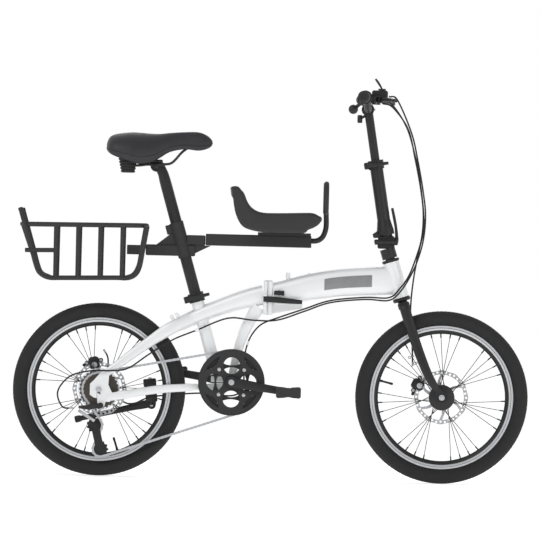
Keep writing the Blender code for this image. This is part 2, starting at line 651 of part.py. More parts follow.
# ---------------------------------------------------------------- steering
def fork(parent):
    """Crown, steerer and two legs that sweep forward to flat dropouts."""
    crown_y = 0.0400
    parts = [rod([HEAD_BASE - HEAD_UP * 0.012, HEAD_BASE + HEAD_UP * (HEAD_LENGTH + 0.030)], 0.0143, 14)]
    for side in (1, -1):
        leg = [(0.3880, side * 0.0250, 0.5210, 0.0120, 0.0150), (0.3900, side * crown_y, 0.5130, 0.0095, 0.0150),
               (0.4060, side * 0.0440, 0.4650, 0.0090, 0.0145), (0.4300, side * 0.0480, 0.3980, 0.0085, 0.0140),
               (0.4560, side * 0.0535, 0.3340, 0.0080, 0.0130), (0.4760, side * 0.0545, 0.2960, 0.0065, 0.0120),
               (0.4880, side * 0.0533, 0.2800, 0.0028, 0.0105)]
        parts.append(beam(leg, 10, 2.3))
        low, high = sorted((side * 0.0503, side * 0.0563))
        slot = 0.0052
        x, z = FRONT_AXLE.x, FRONT_AXLE.z
        parts.append(plate([(x - 0.026, z + 0.030), (x - 0.014, z + 0.034), (x + 0.011, z + 0.012),
                            (x + 0.013, z - 0.008), (x + slot, z - 0.013), (x + slot, z),
                            (x + 0.0038, z + 0.0040), (x, z + slot + 0.0004), (x - 0.0038, z + 0.0040),
                            (x - slot, z), (x - slot, z - 0.013),
                            (x - 0.013, z - 0.008), (x - 0.020, z + 0.010)], low, high))
    add("fork", fuse(block((0.3870, 0, 0.5210), (0.0340, 0.0800, 0.0240), HEAD_UP.cross(SIDE) * -1,
                           HEAD_UP, 0.0050), *parts), "black_metal", parent)


POST_PIN_Y = -0.0300                   # the handlepost folds down to the right
POST_SPLIT_Z = 0.7077                  # where the two halves of its hinge meet
POST_PIN_X = (0.2960, 0.3640)          # the two ends of the barrel
POST_KNUCKLE_X = (0.3110, 0.3490)      # the middle knuckle
LOWER_POST_R = 0.0190
UPPER_POST_R = 0.0128
LOWER_POST_TOP = POST_BASE + POST_UP * 0.2280
UPPER_POST_LOW = POST_BASE + POST_UP * 0.0700
UPPER_POST_TOP = POST_BASE + POST_UP * 0.3640


POST_FORWARD = SIDE.cross(POST_UP)
POST_CLAMP_PIVOT = LOWER_POST_TOP - POST_UP * 0.0120 - POST_FORWARD * 0.0295 - SIDE * 0.0163
POST_LATCH_PIVOT = Vector((0.3605, 0, 0.7160))


def post_knuckle(x_low, x_high, z_low, z_high):
    """A barrel of the handlepost hinge and the lug that joins it to its block."""
    middle = (x_low + x_high) / 2
    barrel = cylinder((middle, POST_PIN_Y, POST_SPLIT_Z), 0.0066, (x_high - x_low) / 2, (1, 0, 0), 14)
    lug = block((middle, (POST_PIN_Y - 0.0160) / 2, (z_low + z_high) / 2),
                (x_high - x_low - 0.0004, abs(POST_PIN_Y + 0.0160), z_high - z_low))
    return [barrel, lug]


def stem_base(parent):
    """The lower half of the handlepost hinge, clamped on the steerer above the headset."""
    low = HEAD_BASE + HEAD_UP * (HEAD_LENGTH + 0.0098)
    high = HEAD_BASE + HEAD_UP * (HEAD_LENGTH + 0.0400)
    x_low, x_high = POST_PIN_X
    parts = [block((0.3300, 0.0020, POST_SPLIT_Z - 0.0103), (0.0500, 0.0440, 0.0200), bevel=0.0035)]
    parts += post_knuckle(x_low, POST_KNUCKLE_X[0] - GAP, POST_SPLIT_Z - 0.0090, POST_SPLIT_Z - GAP)
    parts += post_knuckle(POST_KNUCKLE_X[1] + GAP, x_high, POST_SPLIT_Z - 0.0090, POST_SPLIT_Z - GAP)
    body = fuse(rod([low, high], 0.0225, 14), *parts)
    bored = cut(body, rod([low - HEAD_UP * 0.02, HEAD_BASE + HEAD_UP * (HEAD_LENGTH + 0.0310)],
                          0.0146, 14),
                cylinder((0.33, POST_PIN_Y, POST_SPLIT_Z), 0.0032, 0.06, (1, 0, 0), 12))
    add("stem_base", bored, "black_metal", parent)
    pin = turned([(0, x_low - 0.0020), (0.0050, x_low - 0.0020), (0.0050, x_low - GAP),
                  (0.0030, x_low - GAP), (0.0030, x_high + GAP), (0.0050, x_high + GAP),
                  (0.0050, x_high + 0.0020), (0, x_high + 0.0020)],
                 (0, POST_PIN_Y, POST_SPLIT_Z), (1, 0, 0), 12)
    add("handlepost_hinge_pin", pin, "steel", parent)


def post_collar():
    """The clamp round the top of the lower post, with the lug that its quick-release pulls shut."""
    low, high = LOWER_POST_TOP - POST_UP * 0.0250, LOWER_POST_TOP + POST_UP * 0.0010
    return [rod([low, high], 0.0232, 14),
            block((low + high) / 2 - POST_FORWARD * 0.0255, (0.0180, 0.0200, 0.0200), POST_FORWARD,
                  POST_UP, 0.0020)]


def handlepost(parent, latch_parent, lever_parent):
    """The lower post with the upper half of its hinge and its height clamp, and both levers."""
    x_low, x_high = POST_KNUCKLE_X
    parts = [rod([POST_BASE - POST_UP * 0.006, LOWER_POST_TOP], LOWER_POST_R, 14), *post_collar()]
    parts += post_knuckle(x_low, x_high, POST_SPLIT_Z + GAP, POST_SPLIT_Z + 0.0090)
    for side in (1, -1):
        parts.append(block((0.3580, side * 0.0080, 0.7160), (0.0120, 0.0030, 0.0110)))
    parts.append(cylinder(POST_LATCH_PIVOT, 0.0020, 0.0085, SIDE, 10))
    root = block((0.3300, 0.0020, POST_SPLIT_Z + 0.0093), (0.0480, 0.0430, 0.0180), bevel=0.0035)
    slit = block(LOWER_POST_TOP - POST_UP * 0.0120 - POST_FORWARD * 0.0215, (0.0440, 0.0025, 0.0320), POST_FORWARD, POST_UP)
    bore = rod([POST_BASE + POST_UP * 0.012, LOWER_POST_TOP + POST_UP * 0.01], UPPER_POST_R + GAP, 14)
    pin_hole = cylinder((0.33, POST_PIN_Y, POST_SPLIT_Z), 0.0032, 0.06, (1, 0, 0), 12)
    add("handlepost", cut(fuse(root, *parts), bore, slit, pin_hole), "black_metal", parent)
    arm = beam([(0.3622, 0, 0.7085, 0.0052, 0.0050), (0.3612, 0, 0.7200, 0.0054, 0.0050),
                (0.3580, 0, 0.7500, 0.0058, 0.0042), (0.3520, 0, 0.7800, 0.0062, 0.0044),
                (0.3455, 0, 0.8080, 0.0056, 0.0040)], 10)
    add("handlepost_latch", cut(arm, cylinder(POST_LATCH_PIVOT, 0.0023, 0.02, SIDE, 10)),
        "black_metal", latch_parent)
    add("post_clamp_lever", quick_release(POST_CLAMP_PIVOT, POST_FORWARD, POST_UP, 0.0660), "black_metal",
        lever_parent)


def quick_release(pivot_at, forward, tube_up, length):
    """A cam lever that turns on a barrel beside its clamp's lug and folds forward past the tube."""
    arm = beam([(*pivot_at, 0.0030, 0.0050), (*(pivot_at + forward * 0.010 - SIDE * 0.0127), 0.0030, 0.0062),
                (*(pivot_at + forward * length * 0.6 - SIDE * 0.0145), 0.0030, 0.0056),
                (*(pivot_at + forward * length - SIDE * 0.0120), 0.0022, 0.0044)], 10)
    return fuse(arm, cylinder(pivot_at, 0.0060, 0.0070, tube_up, 14))


# ---------------------------------------------------------------- handlebar and controls
BAR_PATH = [(0.2670, 0.0000, 1.0960), (0.2670, 0.0400, 1.0960), (0.2655, 0.0620, 1.1030),
            (0.2625, 0.0980, 1.1240), (0.2605, 0.1200, 1.1290), (0.2560, 0.1900, 1.1290),
            (HANDLEBAR.x, BAR_HALF - 0.0030, HANDLEBAR.z)]
GRIP_START = 0.1660


def on_bar(y):
    """The bar's centre at a distance from the middle, on the straight outer stretch."""
    (x0, y0, z0), (x1, y1, z1) = BAR_PATH[-3], BAR_PATH[-1]
    t = (abs(y) - y0) / (y1 - y0)
    return Vector((x0 + (x1 - x0) * t, y, z0 + (z1 - z0) * t))


def along_bar(side):
    return (on_bar(side * 0.20) - on_bar(side * 0.13)).normalized()


def handlebar(parent):
    """The upper post with its bar clamp, the bar, and its grips."""
    centre = Vector(BAR_PATH[0])
    top = POST_BASE + POST_UP * ((centre - POST_BASE).dot(POST_UP) - 0.0100)
    lower = fuse(rod([UPPER_POST_LOW, top], UPPER_POST_R, 14), cylinder(centre, 0.0185, 0.0230, SIDE, 16))
    bored = cut(lower, cylinder(centre, BAR_R + GAP, 0.05, SIDE, 14),
                rod([UPPER_POST_LOW - POST_UP * 0.01, top - POST_UP * 0.030], 0.0108, 14))
    add("upper_post", bored, "black_metal", parent)
    path = [(x, -y, z) for x, y, z in reversed(BAR_PATH[1:])] + BAR_PATH
    add("handlebar", rod(path, BAR_R, 14), "black_metal", parent)
    for name, side in (("right_grip", -1), ("left_grip", 1)):
        centre, axis = on_bar(side * GRIP_START), along_bar(side)
        length = (BAR_HALF - GRIP_START) / abs(axis.y)
        bore = BAR_R + GAP * 2
        profile = [(GRIP_R + 0.0035, 0.0), (GRIP_R + 0.0035, 0.0040), (0.0150, 0.0070), (0.0160, 0.030),
                   (0.0152, 0.055), (GRIP_R, 0.085), (GRIP_R, length - 0.003), (0.0135, length),
                   (0.0070, length), (0.0070, length - 0.0022), (bore, length - 0.0022), (bore, 0.0)]
        add(name, turned(profile, centre, axis, 14), "grip_rubber", parent)


LEVER_PIVOT_Y = 0.1300                 # distance of each brake lever's pivot from the middle


def brake_bracket(side, extra=()):
    """A lever clamp on the bar with its fork, the fixed pin that the lever turns on, and extras."""
    ring_at, axis = on_bar(side * 0.1430), along_bar(side)
    pivot_at = brake_pivot(side)
    body = fuse(cylinder(ring_at, 0.0165, 0.0075, axis, 14),
                block((0.2765, side * 0.1400, 1.1240), (0.0240, 0.0130, 0.0150)),
                block((0.2925, side * 0.1290, 1.1325), (0.0250, 0.0250, 0.0040)),
                block((0.2925, side * 0.1290, 1.1155), (0.0250, 0.0250, 0.0040)),
                block((0.2875, side * 0.1210, 1.1240), (0.0050, 0.0100, 0.0200)),
                cylinder(pivot_at, 0.0023, 0.0110, UP, 10), *extra)
    return cut(body, bar_line())


def brake_pivot(side):
    return Vector((0.2980, side * LEVER_PIVOT_Y, 1.1240))


def brake_blade(side):
    """A lever blade that curves out in front of the grip from its boss."""
    pivot_at = brake_pivot(side)
    blade = beam_level([(0.3010, side * (LEVER_PIVOT_Y + 0.0010), 1.1240, 0.0052, 0.0055),
                        (0.3120, side * 0.1440, 1.1238, 0.0055, 0.0055),
                        (0.3250, side * 0.1620, 1.1230, 0.0050, 0.0060),
                        (0.3340, side * 0.1950, 1.1215, 0.0045, 0.0062),
                        (0.3360, side * 0.2350, 1.1200, 0.0045, 0.0060),
                        (0.3460, side * 0.2560, 1.1195, 0.0050, 0.0055)])
    return cut(fuse(blade, cylinder(pivot_at, 0.0068, 0.0055, UP, 14)),
               cylinder(pivot_at, 0.0026, 0.03, UP, 10))


def beam_level(stations, sides=10):
    """A lever blade: stations are (x, y, z, half thickness in plan, half height)."""
    points = [Vector(s[:3]) for s in stations]
    rings = []
    for station, tangent in zip(stations, directions(points)):
        across = UP.cross(tangent).normalized()
        rings.append(ring(station[:3], across, tangent.cross(across), station[3], station[4], sides, 2.5))
    return loft(rings)


def bar_line(extra=0.0):
    """The whole bar, as a cutter for what clamps round it."""
    path = [(x, -y, z) for x, y, z in reversed(BAR_PATH[1:])] + BAR_PATH
    return rod(path, BAR_R + GAP + extra, 14)


SHIFTER_AT = Vector((0.3000, -0.1040, 1.1345))


def controls(parent, right_lever, left_lever, thumb):
    """Both brake levers; the right clamp carries the gear shifter's pod and its thumb lever."""
    x, y, z = SHIFTER_AT
    pod = [block(SHIFTER_AT, (0.0470, 0.0280, 0.0330), bevel=0.0040),
           block((0.2780, y, 1.1290), (0.0300, 0.0150, 0.0200), bevel=0.0020)]
    add("right_brake_bracket", brake_bracket(-1, pod), "black_metal", parent)
    add("left_brake_bracket", brake_bracket(1), "black_metal", parent)
    add("right_brake_lever", brake_blade(-1), "black_metal", right_lever)
    add("left_brake_lever", brake_blade(1), "black_metal", left_lever)
    arm = beam([(x + 0.006, y, z + 0.0205, 0.0060, 0.0022), (x + 0.001, y, z + 0.0290, 0.0058, 0.0030),
                (x - 0.007, y, z + 0.0410, 0.0055, 0.0035), (x - 0.014, y, z + 0.0500, 0.0045, 0.0028)], 8)
    add("shift_lever", fuse(cylinder((x + 0.006, y, z + 0.0193), 0.0110, 0.0024, UP, 14), arm),
        "matte_black", thumb)


# ---------------------------------------------------------------- drivetrain
SPINDLE_R = 0.0083
CRANK_IN_Y = 0.0500                    # inner face of each crank boss
CRANK_EYE_Y = 0.0690                   # middle of each crank at the pedal
RIGHT_PEDAL = BOTTOM_BRACKET + Vector((math.cos(CRANK_ANGLE), 0, math.sin(CRANK_ANGLE))) * CRANK_LENGTH
LEFT_PEDAL = BOTTOM_BRACKET * 2 - RIGHT_PEDAL


def bottom_bracket(parent):
    """The sealed cartridge in the bottom bracket shell."""
    profile = [(0.0169, -0.0343), (0.0169, 0.0343), (0.0200, 0.0343), (0.0200, 0.0380),
               (0.0090, 0.0380), (0.0090, -0.0380), (0.0200, -0.0380), (0.0200, -0.0343)]
    add("bottom_bracket", turned(profile, BOTTOM_BRACKET, steps=14), "dark_steel", parent)


def pedal_spindle(side):
    """The pedal's spindle, screwed into the crank's eye."""
    centre = RIGHT_PEDAL if side < 0 else LEFT_PEDAL
    return turned([(0, 0.0630), (0.0070, 0.0630), (0.0070, 0.0770), (0.0090, 0.0770), (0.0090, 0.0800),
                   (0.0045, 0.0820), (0.0045, 0.1660), (0, 0.1660)], centre, SIDE * side, 12)


def crank_arm(side, extra):
    """One crank: a boss on the spindle, a tapering arm, the pedal eye and the pedal's spindle."""
    to_pedal = Vector((math.cos(CRANK_ANGLE), 0, math.sin(CRANK_ANGLE))) * -side
    y0, y1 = side * 0.0650, side * CRANK_EYE_Y
    arm = beam([(*at(BOTTOM_BRACKET + to_pedal * 0.004, y=y0), 0.0068, 0.0160),
                (*at(BOTTOM_BRACKET + to_pedal * 0.040, y=y0 + side * 0.0015), 0.0066, 0.0145),
                (*at(BOTTOM_BRACKET + to_pedal * 0.110, y=y1 - side * 0.0010), 0.0062, 0.0120),
                (*at(BOTTOM_BRACKET + to_pedal * 0.166, y=y1), 0.0060, 0.0115)], 10, 3.0)
    boss = cylinder(at(BOTTOM_BRACKET, y=side * 0.0600), 0.0173, 0.0110, steps=15)
    eye = cylinder(at(BOTTOM_BRACKET + to_pedal * CRANK_LENGTH, y=y1), 0.0135, 0.0064, steps=14)
    return fuse(arm, boss, eye, pedal_spindle(side), *extra)


def ring_of_holes(centre, radius, hole_r, count, first, steps):
    """Round holes spaced evenly on a circle."""
    holes = []
    for k in range(count):
        a = first + 2 * math.pi * k / count
        holes.append(circle_points((centre[0] + radius * math.cos(a), centre[1] + radius * math.sin(a)),
                                   hole_r, steps))
    return holes


def lens_slot(centre, middle):
    """A crescent slot in the guard, outside a chainring bolt."""
    outer, inner, half = 0.0840, 0.0730, math.radians(22)
    points = []
    for step in range(5):
        a = middle - half + half * step / 2
        points.append((centre[0] + outer * math.cos(a), centre[1] + outer * math.sin(a)))
    for step in range(3):
        a = middle + half * 0.7 * (1 - step)
        radius = inner - 0.004 * math.sin(math.pi * step / 2)
        points.append((centre[0] + radius * math.cos(a), centre[1] + radius * math.sin(a)))
    return points


def chainset(parent):
    """The right crank with its spider and riveted chainring, the left crank with the spindle,
    and the round guard outside the ring."""
    centre = (BOTTOM_BRACKET.x, BOTTOM_BRACKET.z)
    arms = [cylinder(at(BOTTOM_BRACKET, y=-0.0505), 0.0200, 0.0020, steps=14)]
    for k in range(4):
        a = math.radians(45 + 90 * k)
        out = Vector((math.cos(a), 0, math.sin(a)))
        arms.append(beam([(*at(BOTTOM_BRACKET + out * 0.010, y=-0.0500), 0.0018, 0.0110),
                          (*at(BOTTOM_BRACKET + out * (BOLT_CIRCLE_R + 0.006), y=-0.0475), 0.0024, 0.0080)],
                         8, 3.0))
    toothed = plate(sprocket_points(centre, CHAINRING_TEETH), CHAINRING_Y - 0.0010, CHAINRING_Y + 0.0010,
                    [circle_points(centre, 0.040, 20)])
    add("right_crank", crank_arm(-1, [toothed, *arms]), "black_metal", parent)
    spindle = cylinder(at(BOTTOM_BRACKET, y=0.0035), SPINDLE_R, 0.0500, steps=12)
    add("left_crank", crank_arm(1, [spindle]), "black_metal", parent)
    holes = [circle_points(centre, 0.0240, 14)]
    holes += ring_of_holes(centre, 0.0480, 0.0170, 4, 0, 10)
    holes += [lens_slot(centre, math.pi / 4 + math.pi / 2 * k) for k in range(4)]
    add("chain_guard", plate(circle_points(centre, GUARD_R, 32), -0.0550, -0.0535, holes), "matte_black",
        parent)


def pedal(name, centre, side, parent):
    """A platform pedal body with four windows, bored for its spindle."""
    inner, outer = side * 0.0830, side * 0.1720
    x, z = centre.x, centre.z
    corner = [(0.0365, 0.0120), (0.0320, 0.0165), (0.0120, 0.0150), (0.0, 0.0125)]
    quarter = [(dx, dz) for dx, dz in corner]
    upper = quarter + [(-dx, dz) for dx, dz in reversed(quarter[:-1])]
    outline = [(x + dx, z + dz) for dx, dz in upper] + [(x + dx, z - dz) for dx, dz in reversed(upper)]
    low, high = sorted((inner, outer))
    windows = [block((x + dx, (low + high) / 2 + dy, z), (0.0190, 0.0300, 0.05))
               for dx in (-0.0220, 0.0220) for dy in (-0.0210, 0.0210)]
    body = cut(plate(outline, low, high), *windows,
               cylinder((x, (low + high) / 2 - side * 0.004, z), 0.0048, 0.0430, SIDE, 12))
    add(name, body, "matte_black", parent)


GUIDE_PULLEY = Vector((-0.5135, -0.0310, 0.1480))
TENSION_PULLEY = Vector((-0.4963, -0.0310, 0.0780))
LINK_FORE = Vector((-0.5200, 0, 0.1640))       # parallelogram pins at the moving knuckle
LINK_AFT = Vector((-0.5560, 0, 0.1870))        # and at the fixed knuckle
LINK_AXIS = (LINK_FORE - LINK_AFT).normalized().cross(SIDE).normalized()
LINK_Y = -0.0530


def stadium(a, b, radius):
    """A flat-sided outline with round ends about two points, in the XZ plane."""
    first = math.atan2(b.z - a.z, b.x - a.x) + math.pi / 2
    points = []
    for centre, start in ((a, first), (b, first + math.pi)):
        for step in range(9):
            turn = start + math.pi * step / 8
            points.append((centre.x + radius * math.cos(turn), centre.z + radius * math.sin(turn)))
    return points


def derailleur(root, link_parent, knuckle_parent, cage, guide, tension):
    """Fixed knuckle, shift link, moving knuckle, cage and its two jockey wheels."""
    mount = fuse(cylinder((-0.4975, -0.0802, 0.2070), 0.0085, 0.0055, SIDE, 14),
                 beam([(-0.4975, -0.0790, 0.2060, 0.0035, 0.0075), (-0.5180, -0.0785, 0.2040, 0.0035, 0.0080),
                       (-0.5330, -0.0690, 0.2010, 0.0050, 0.0075), (-0.5560, -0.0570, 0.2000, 0.0105, 0.0040)], 10),
                 block((-0.5560, -0.0530, 0.2000), (0.0130, 0.0240, 0.0080), bevel=0.0015))
    add("derailleur_body", mount, "black_metal", root)
    a, b = at(LINK_AFT, y=LINK_Y), at(LINK_FORE, y=LINK_Y)
    link = fuse(block((a + b) / 2, ((b - a).length, 0.0200, 0.0090), b - a, LINK_AXIS, 0.0010),
                cylinder(a, 0.0075, 0.0045, LINK_AXIS, 14), cylinder(b, 0.0075, 0.0045, LINK_AXIS, 14))
    add("derailleur_link", link, "steel", link_parent)
    low = LINK_FORE - LINK_AXIS * 0.0105
    body = fuse(block(at(low, y=-0.0530), (0.0130, 0.0240, 0.0060), (LINK_FORE - LINK_AFT), LINK_AXIS, 0.0012),
                beam([(low.x - 0.0016, -0.0500, low.z - 0.0025, 0.0060, 0.0040),
                      (GUIDE_PULLEY.x, -0.0480, GUIDE_PULLEY.z, 0.0060, 0.0060)], 10),
                cylinder(at(GUIDE_PULLEY, y=-0.0175), 0.0074, 0.0065, SIDE, 12))
    add("derailleur_knuckle", body, "black_metal", knuckle_parent)
    plates = [plate(stadium(GUIDE_PULLEY, TENSION_PULLEY, 0.0120), y - 0.0008, y + 0.0008)
              for y in (-0.0375, -0.0245)]
    pins = [cylinder(at(p, y=0), 0.0024, 0.0070, SIDE, 10) for p in (GUIDE_PULLEY, TENSION_PULLEY)]
    add("derailleur_cage", fuse(plates[0], *plates[1:], *pins), "black_metal", cage)
    for name, place, parent in (("guide_pulley", GUIDE_PULLEY, guide), ("tension_pulley", TENSION_PULLEY, tension)):
        wheel = plate(sprocket_points((place.x, place.z), PULLEY_TEETH), place.y - 0.0010, place.y + 0.0010)
        body = cut(fuse(wheel, cylinder(place, 0.0070, 0.0045, SIDE, 14)),
                   cylinder(place, 0.0027, 0.02, SIDE, 10))
        add(name, body, "matte_black", parent)


def belt(circles, arc_step, run_points):
    """A closed line round circles of (centre, radius, turn, y); turn is +1 where it goes round
    counter-clockwise as seen from the right, and -1 where it goes round the other way."""
    count = len(circles)
    leave, arrive = [0.0] * count, [0.0] * count
    for i in range(count):
        j = (i + 1) % count
        (c0, r0, s0, _), (c1, r1, s1, _) = circles[i], circles[j]
        d = c1 - c0
        run = math.atan2(d.z, d.x) + math.pi / 2 - math.acos((s0 * r0 - s1 * r1) / math.hypot(d.x, d.z))
        leave[i] = run - s0 * math.pi / 2
        arrive[j] = run - s1 * math.pi / 2
    points = []
    for i, (centre, radius, turn, y) in enumerate(circles):
        sweep = ((leave[i] - arrive[i]) * turn) % (2 * math.pi) * turn
        steps = max(2, round(abs(sweep) * radius / arc_step))
        for k in range(steps + 1):
            a = arrive[i] + sweep * k / steps
            points.append(Vector((centre.x + radius * math.cos(a), y, centre.z + radius * math.sin(a))))
        after = circles[(i + 1) % count]
        a = arrive[(i + 1) % count]
        goal = Vector((after[0].x + after[1] * math.cos(a), after[3], after[0].z + after[1] * math.sin(a)))
        last = points[-1].copy()
        points += [last.lerp(goal, k / (run_points + 1)) for k in range(1, run_points + 1)]
    return points


def chain(parent):
    """The closed chain as two rows of side plates joined by pins along its straight runs."""
    ring_r, cog_r = pitch_radius(CHAINRING_TEETH), pitch_radius(COG_TEETH[DRIVEN_COG])
    pulley_r = pitch_radius(PULLEY_TEETH)
    cog_y = COG_Y - COG_PITCH_Y * DRIVEN_COG
    line = belt([(BOTTOM_BRACKET, ring_r, 1, CHAINRING_Y), (REAR_AXLE, cog_r, 1, cog_y),
                 (GUIDE_PULLEY, pulley_r, -1, GUIDE_PULLEY.y), (TENSION_PULLEY, pulley_r, 1, TENSION_PULLEY.y)],
                0.0320, 4)
    rows = []
    for offset in (-0.0027, 0.0027):
        stations = [(p.x, p.y + offset, p.z, 0.0006, 0.0040) for p in line]
        rows.append(beam(stations, 4, 2.0, closed=True))
    pins = []
    straight = [p for before, p, after in zip(line[-1:] + line, line, line[1:] + line[:1])
                if (p - before).normalized().dot((after - p).normalized()) > 0.99999
                and (p - REAR_AXLE).length > 0.062 and (after - p).length > 0.02]
    for p in straight:
        pins.append(cylinder(p, 0.0018, 0.0027, SIDE, 6))
    add("chain", fuse(rows[0], rows[1], *pins), "steel", parent)


# ---------------------------------------------------------------- disc brakes
def caliper(name, axle, angle, rotor_y, post, parent, arm_parent):
    """A cable disc caliper that straddles its rotor, with its actuating arm on the outside."""
    out = Vector((math.cos(angle), 0, math.sin(angle)))
    across = out.cross(SIDE)
    centre = axle + out * 0.0780
    body = fuse(block(at(centre, y=rotor_y), (0.0400, 0.0290, 0.0360), out, across, 0.0040),
                cylinder(at(centre - out * 0.006, y=rotor_y + 0.0150), 0.0150, 0.0060, SIDE, 16), *post)
    slot = block(at(centre - out * 0.0300, y=rotor_y), (0.0760, 0.0040, 0.0700), out, across)
    add(name, cut(body, slot), "black_metal", parent)
    hinge = centre - out * 0.006
    y = rotor_y + 0.0213
    arm = fuse(cylinder(at(hinge, y=y + 0.0017), 0.0110, 0.0017, SIDE, 14),
               beam([(*at(hinge, y=y + 0.0016), 0.0015, 0.0060),
                     (*at(hinge + across * 0.0320 + out * 0.0060, y=y + 0.0016), 0.0015, 0.0045)], 8, 3.0))
    add(name + "_arm", arm, "steel", arm_parent)
    return hinge


# ---------------------------------------------------------------- kickstand
KICK_PIVOT = Vector((-0.3490, 0.0560, 0.2140))
KICK_FOLDED = Vector((-0.965, 0.120, -0.235)).normalized()
KICK_DOWN = Vector((0.060, 0.360, -0.930)).normalized()
KICK_AXIS = KICK_FOLDED.cross(KICK_DOWN).normalized()
KICK_LENGTH = 0.226


def kickstand_mount():
    """Top plate, bottom block and bolt round the left chainstay, with the leg's pivot boss."""
    return [block((-0.3520, 0.0460, 0.2670), (0.0340, 0.0280, 0.0060), (1, 0, 0.12)),
            block((-0.3500, 0.0480, 0.2400), (0.0300, 0.0240, 0.0080), (1, 0, 0.12)),
            rod([(-0.3500, 0.0560, 0.2680), (-0.3500, 0.0560, 0.2390)], 0.0030, 8),
            cylinder(KICK_PIVOT + KICK_AXIS * 0.0062, 0.0105, 0.0060, KICK_AXIS, 12),
            rod([(-0.3495, 0.0400, 0.2390), KICK_PIVOT + KICK_AXIS * 0.0100], 0.0065, 9)]


def kickstand(parent):
    """The leg, folded back along the wheel, with its rubber-tipped foot."""
    start = KICK_PIVOT - KICK_AXIS * 0.0060
    foot = start + KICK_FOLDED * KICK_LENGTH
    leg = fuse(cylinder(start, 0.0105, 0.0055, KICK_AXIS, 12),
               rod([start + KICK_FOLDED * 0.002, start + KICK_FOLDED * 0.030, start + KICK_FOLDED * 0.130, foot],
                   [0.0048, 0.0050, 0.0060, 0.0060], 9),
               turned([(0, -0.0100), (0.0095, -0.0100), (0.0105, 0.0020), (0.0095, 0.0080), (0, 0.0080)],
                      foot, KICK_FOLDED, 12))
    add("kickstand_leg", leg, "black_metal", parent)


# ---------------------------------------------------------------- seatpost and saddle
SEATPOST_LOW = SEAT_LINE - SEAT_UP * 0.150
SEATPOST_TOP = SEAT_LINE + SEAT_UP * 0.350
RAIL_Y = 0.0220                        # half the spacing of the saddle rails


SEAT_FORWARD = SIDE.cross(SEAT_UP)
SEAT_CLAMP_PIVOT = SEAT_LINE - SEAT_UP * 0.0262 - SEAT_FORWARD * 0.0300 - SIDE * 0.0168


def seat_clamp(parent, lever_parent):
    """The split collar at the top of the seat tube and its quick-release lever."""
    low, high = SEAT_LINE - SEAT_UP * 0.0400, SEAT_LINE - SEAT_UP * 0.0125
    middle = (low + high) / 2
    collar = fuse(rod([low, high], 0.0235, 14),
                  block(middle - SEAT_FORWARD * 0.0270, (0.0200, 0.0210, 0.0200), SEAT_FORWARD, SEAT_UP,
                        0.0020))
    cutters = (block(middle - SEAT_FORWARD * 0.0300, (0.0420, 0.0025, 0.0500), SEAT_FORWARD, SEAT_UP),
               rod([low - SEAT_UP * 0.01, SEAT_LINE - SEAT_UP * (0.0220 - GAP)], SEAT_TUBE_R + GAP, 14),
               rod([SEAT_LINE - SEAT_UP * 0.0225, high + SEAT_UP * 0.01], SEATPOST_R + GAP, 14))
    add("seat_clamp", cut(collar, *cutters), "black_metal", parent)
    add("seat_clamp_lever", quick_release(SEAT_CLAMP_PIVOT, SEAT_FORWARD, SEAT_UP, 0.0700), "black_metal",
        lever_parent)


def saddle_rail_points(side):
    y = side * RAIL_Y
    return [(-0.4350, side * 0.0380, 0.9160), (-0.4050, side * 0.0280, 0.9150), (-0.3760, y, 0.9185),
            (-0.3300, y, 0.9200), (-0.3050, y, 0.9260), (-0.2780, side * 0.0180, 0.9560),
            (-0.2600, side * 0.0140, 0.9700)]


def seatpost(parent):
    """The seatpost with the clamp head that grips the saddle rails."""
    centre = Vector((-0.3500, 0, 0.9190))
    body = fuse(rod([SEATPOST_LOW, SEATPOST_TOP, centre + Vector((0.006, 0, 0))],
                    [SEATPOST_R, SEATPOST_R, 0.0150], 14),
                block(centre, (0.0420, 0.0620, 0.0300), (1, 0, 0.02), UP, 0.0050),
                cylinder(centre, 0.0050, 0.0370, SIDE, 12))
    rails = [rod(saddle_rail_points(side), 0.0035 + GAP, 10) for side in (1, -1)]
    bore = rod([SEATPOST_LOW - SEAT_UP * 0.01, SEATPOST_TOP - SEAT_UP * 0.012], 0.0148, 14)
    add("seatpost", cut(body, bore, *rails), "black_metal", parent)


def saddle(parent):
    """A sprung comfort saddle on its rails, which run from a rear bow to a bridge at the nose."""
    bridge = rod([(-0.2600, 0.0140, 0.9700), (-0.2500, 0.0, 0.9735), (-0.2600, -0.0140, 0.9700)], 0.0035, 6)
    rear = rod([(-0.4350, 0.0380, 0.9160), (-0.4470, 0.0200, 0.9160), (-0.4470, -0.0200, 0.9160),
                (-0.4350, -0.0380, 0.9160)], 0.0035, 6)
    sides = [rod(saddle_rail_points(side), 0.0035, 6) for side in (1, -1)]
    springs = [cylinder((-0.4400, side * 0.0380, 0.9300), 0.0115, 0.0160, UP, 8) for side in (1, -1)]
    stations = [(-0.4980, 0.0480, 0.9520, 0.9800), (-0.4880, 0.0750, 0.9440, 0.9980),
                (-0.4650, 0.0850, 0.9400, 1.0080), (-0.4250, 0.0860, 0.9390, 1.0130),
                (-0.3900, 0.0750, 0.9420, 1.0130), (-0.3500, 0.0560, 0.9520, 1.0110),
                (-0.3100, 0.0400, 0.9640, 1.0150), (-0.2700, 0.0300, 0.9700, 1.0190),
                (-0.2300, 0.0270, 0.9720, 1.0200), (-0.2020, 0.0230, 0.9760, 1.0080),
                (-0.1890, 0.0120, 0.9820, 0.9980)]
    rings = [ring((x, 0, (low + high) / 2), SIDE, UP, half, (high - low) / 2, 12, 2.4)
             for x, half, low, high in stations]
    add("saddle", fuse(loft(rings), *sides, bridge, rear, *springs), "saddle_cover", parent, 60)


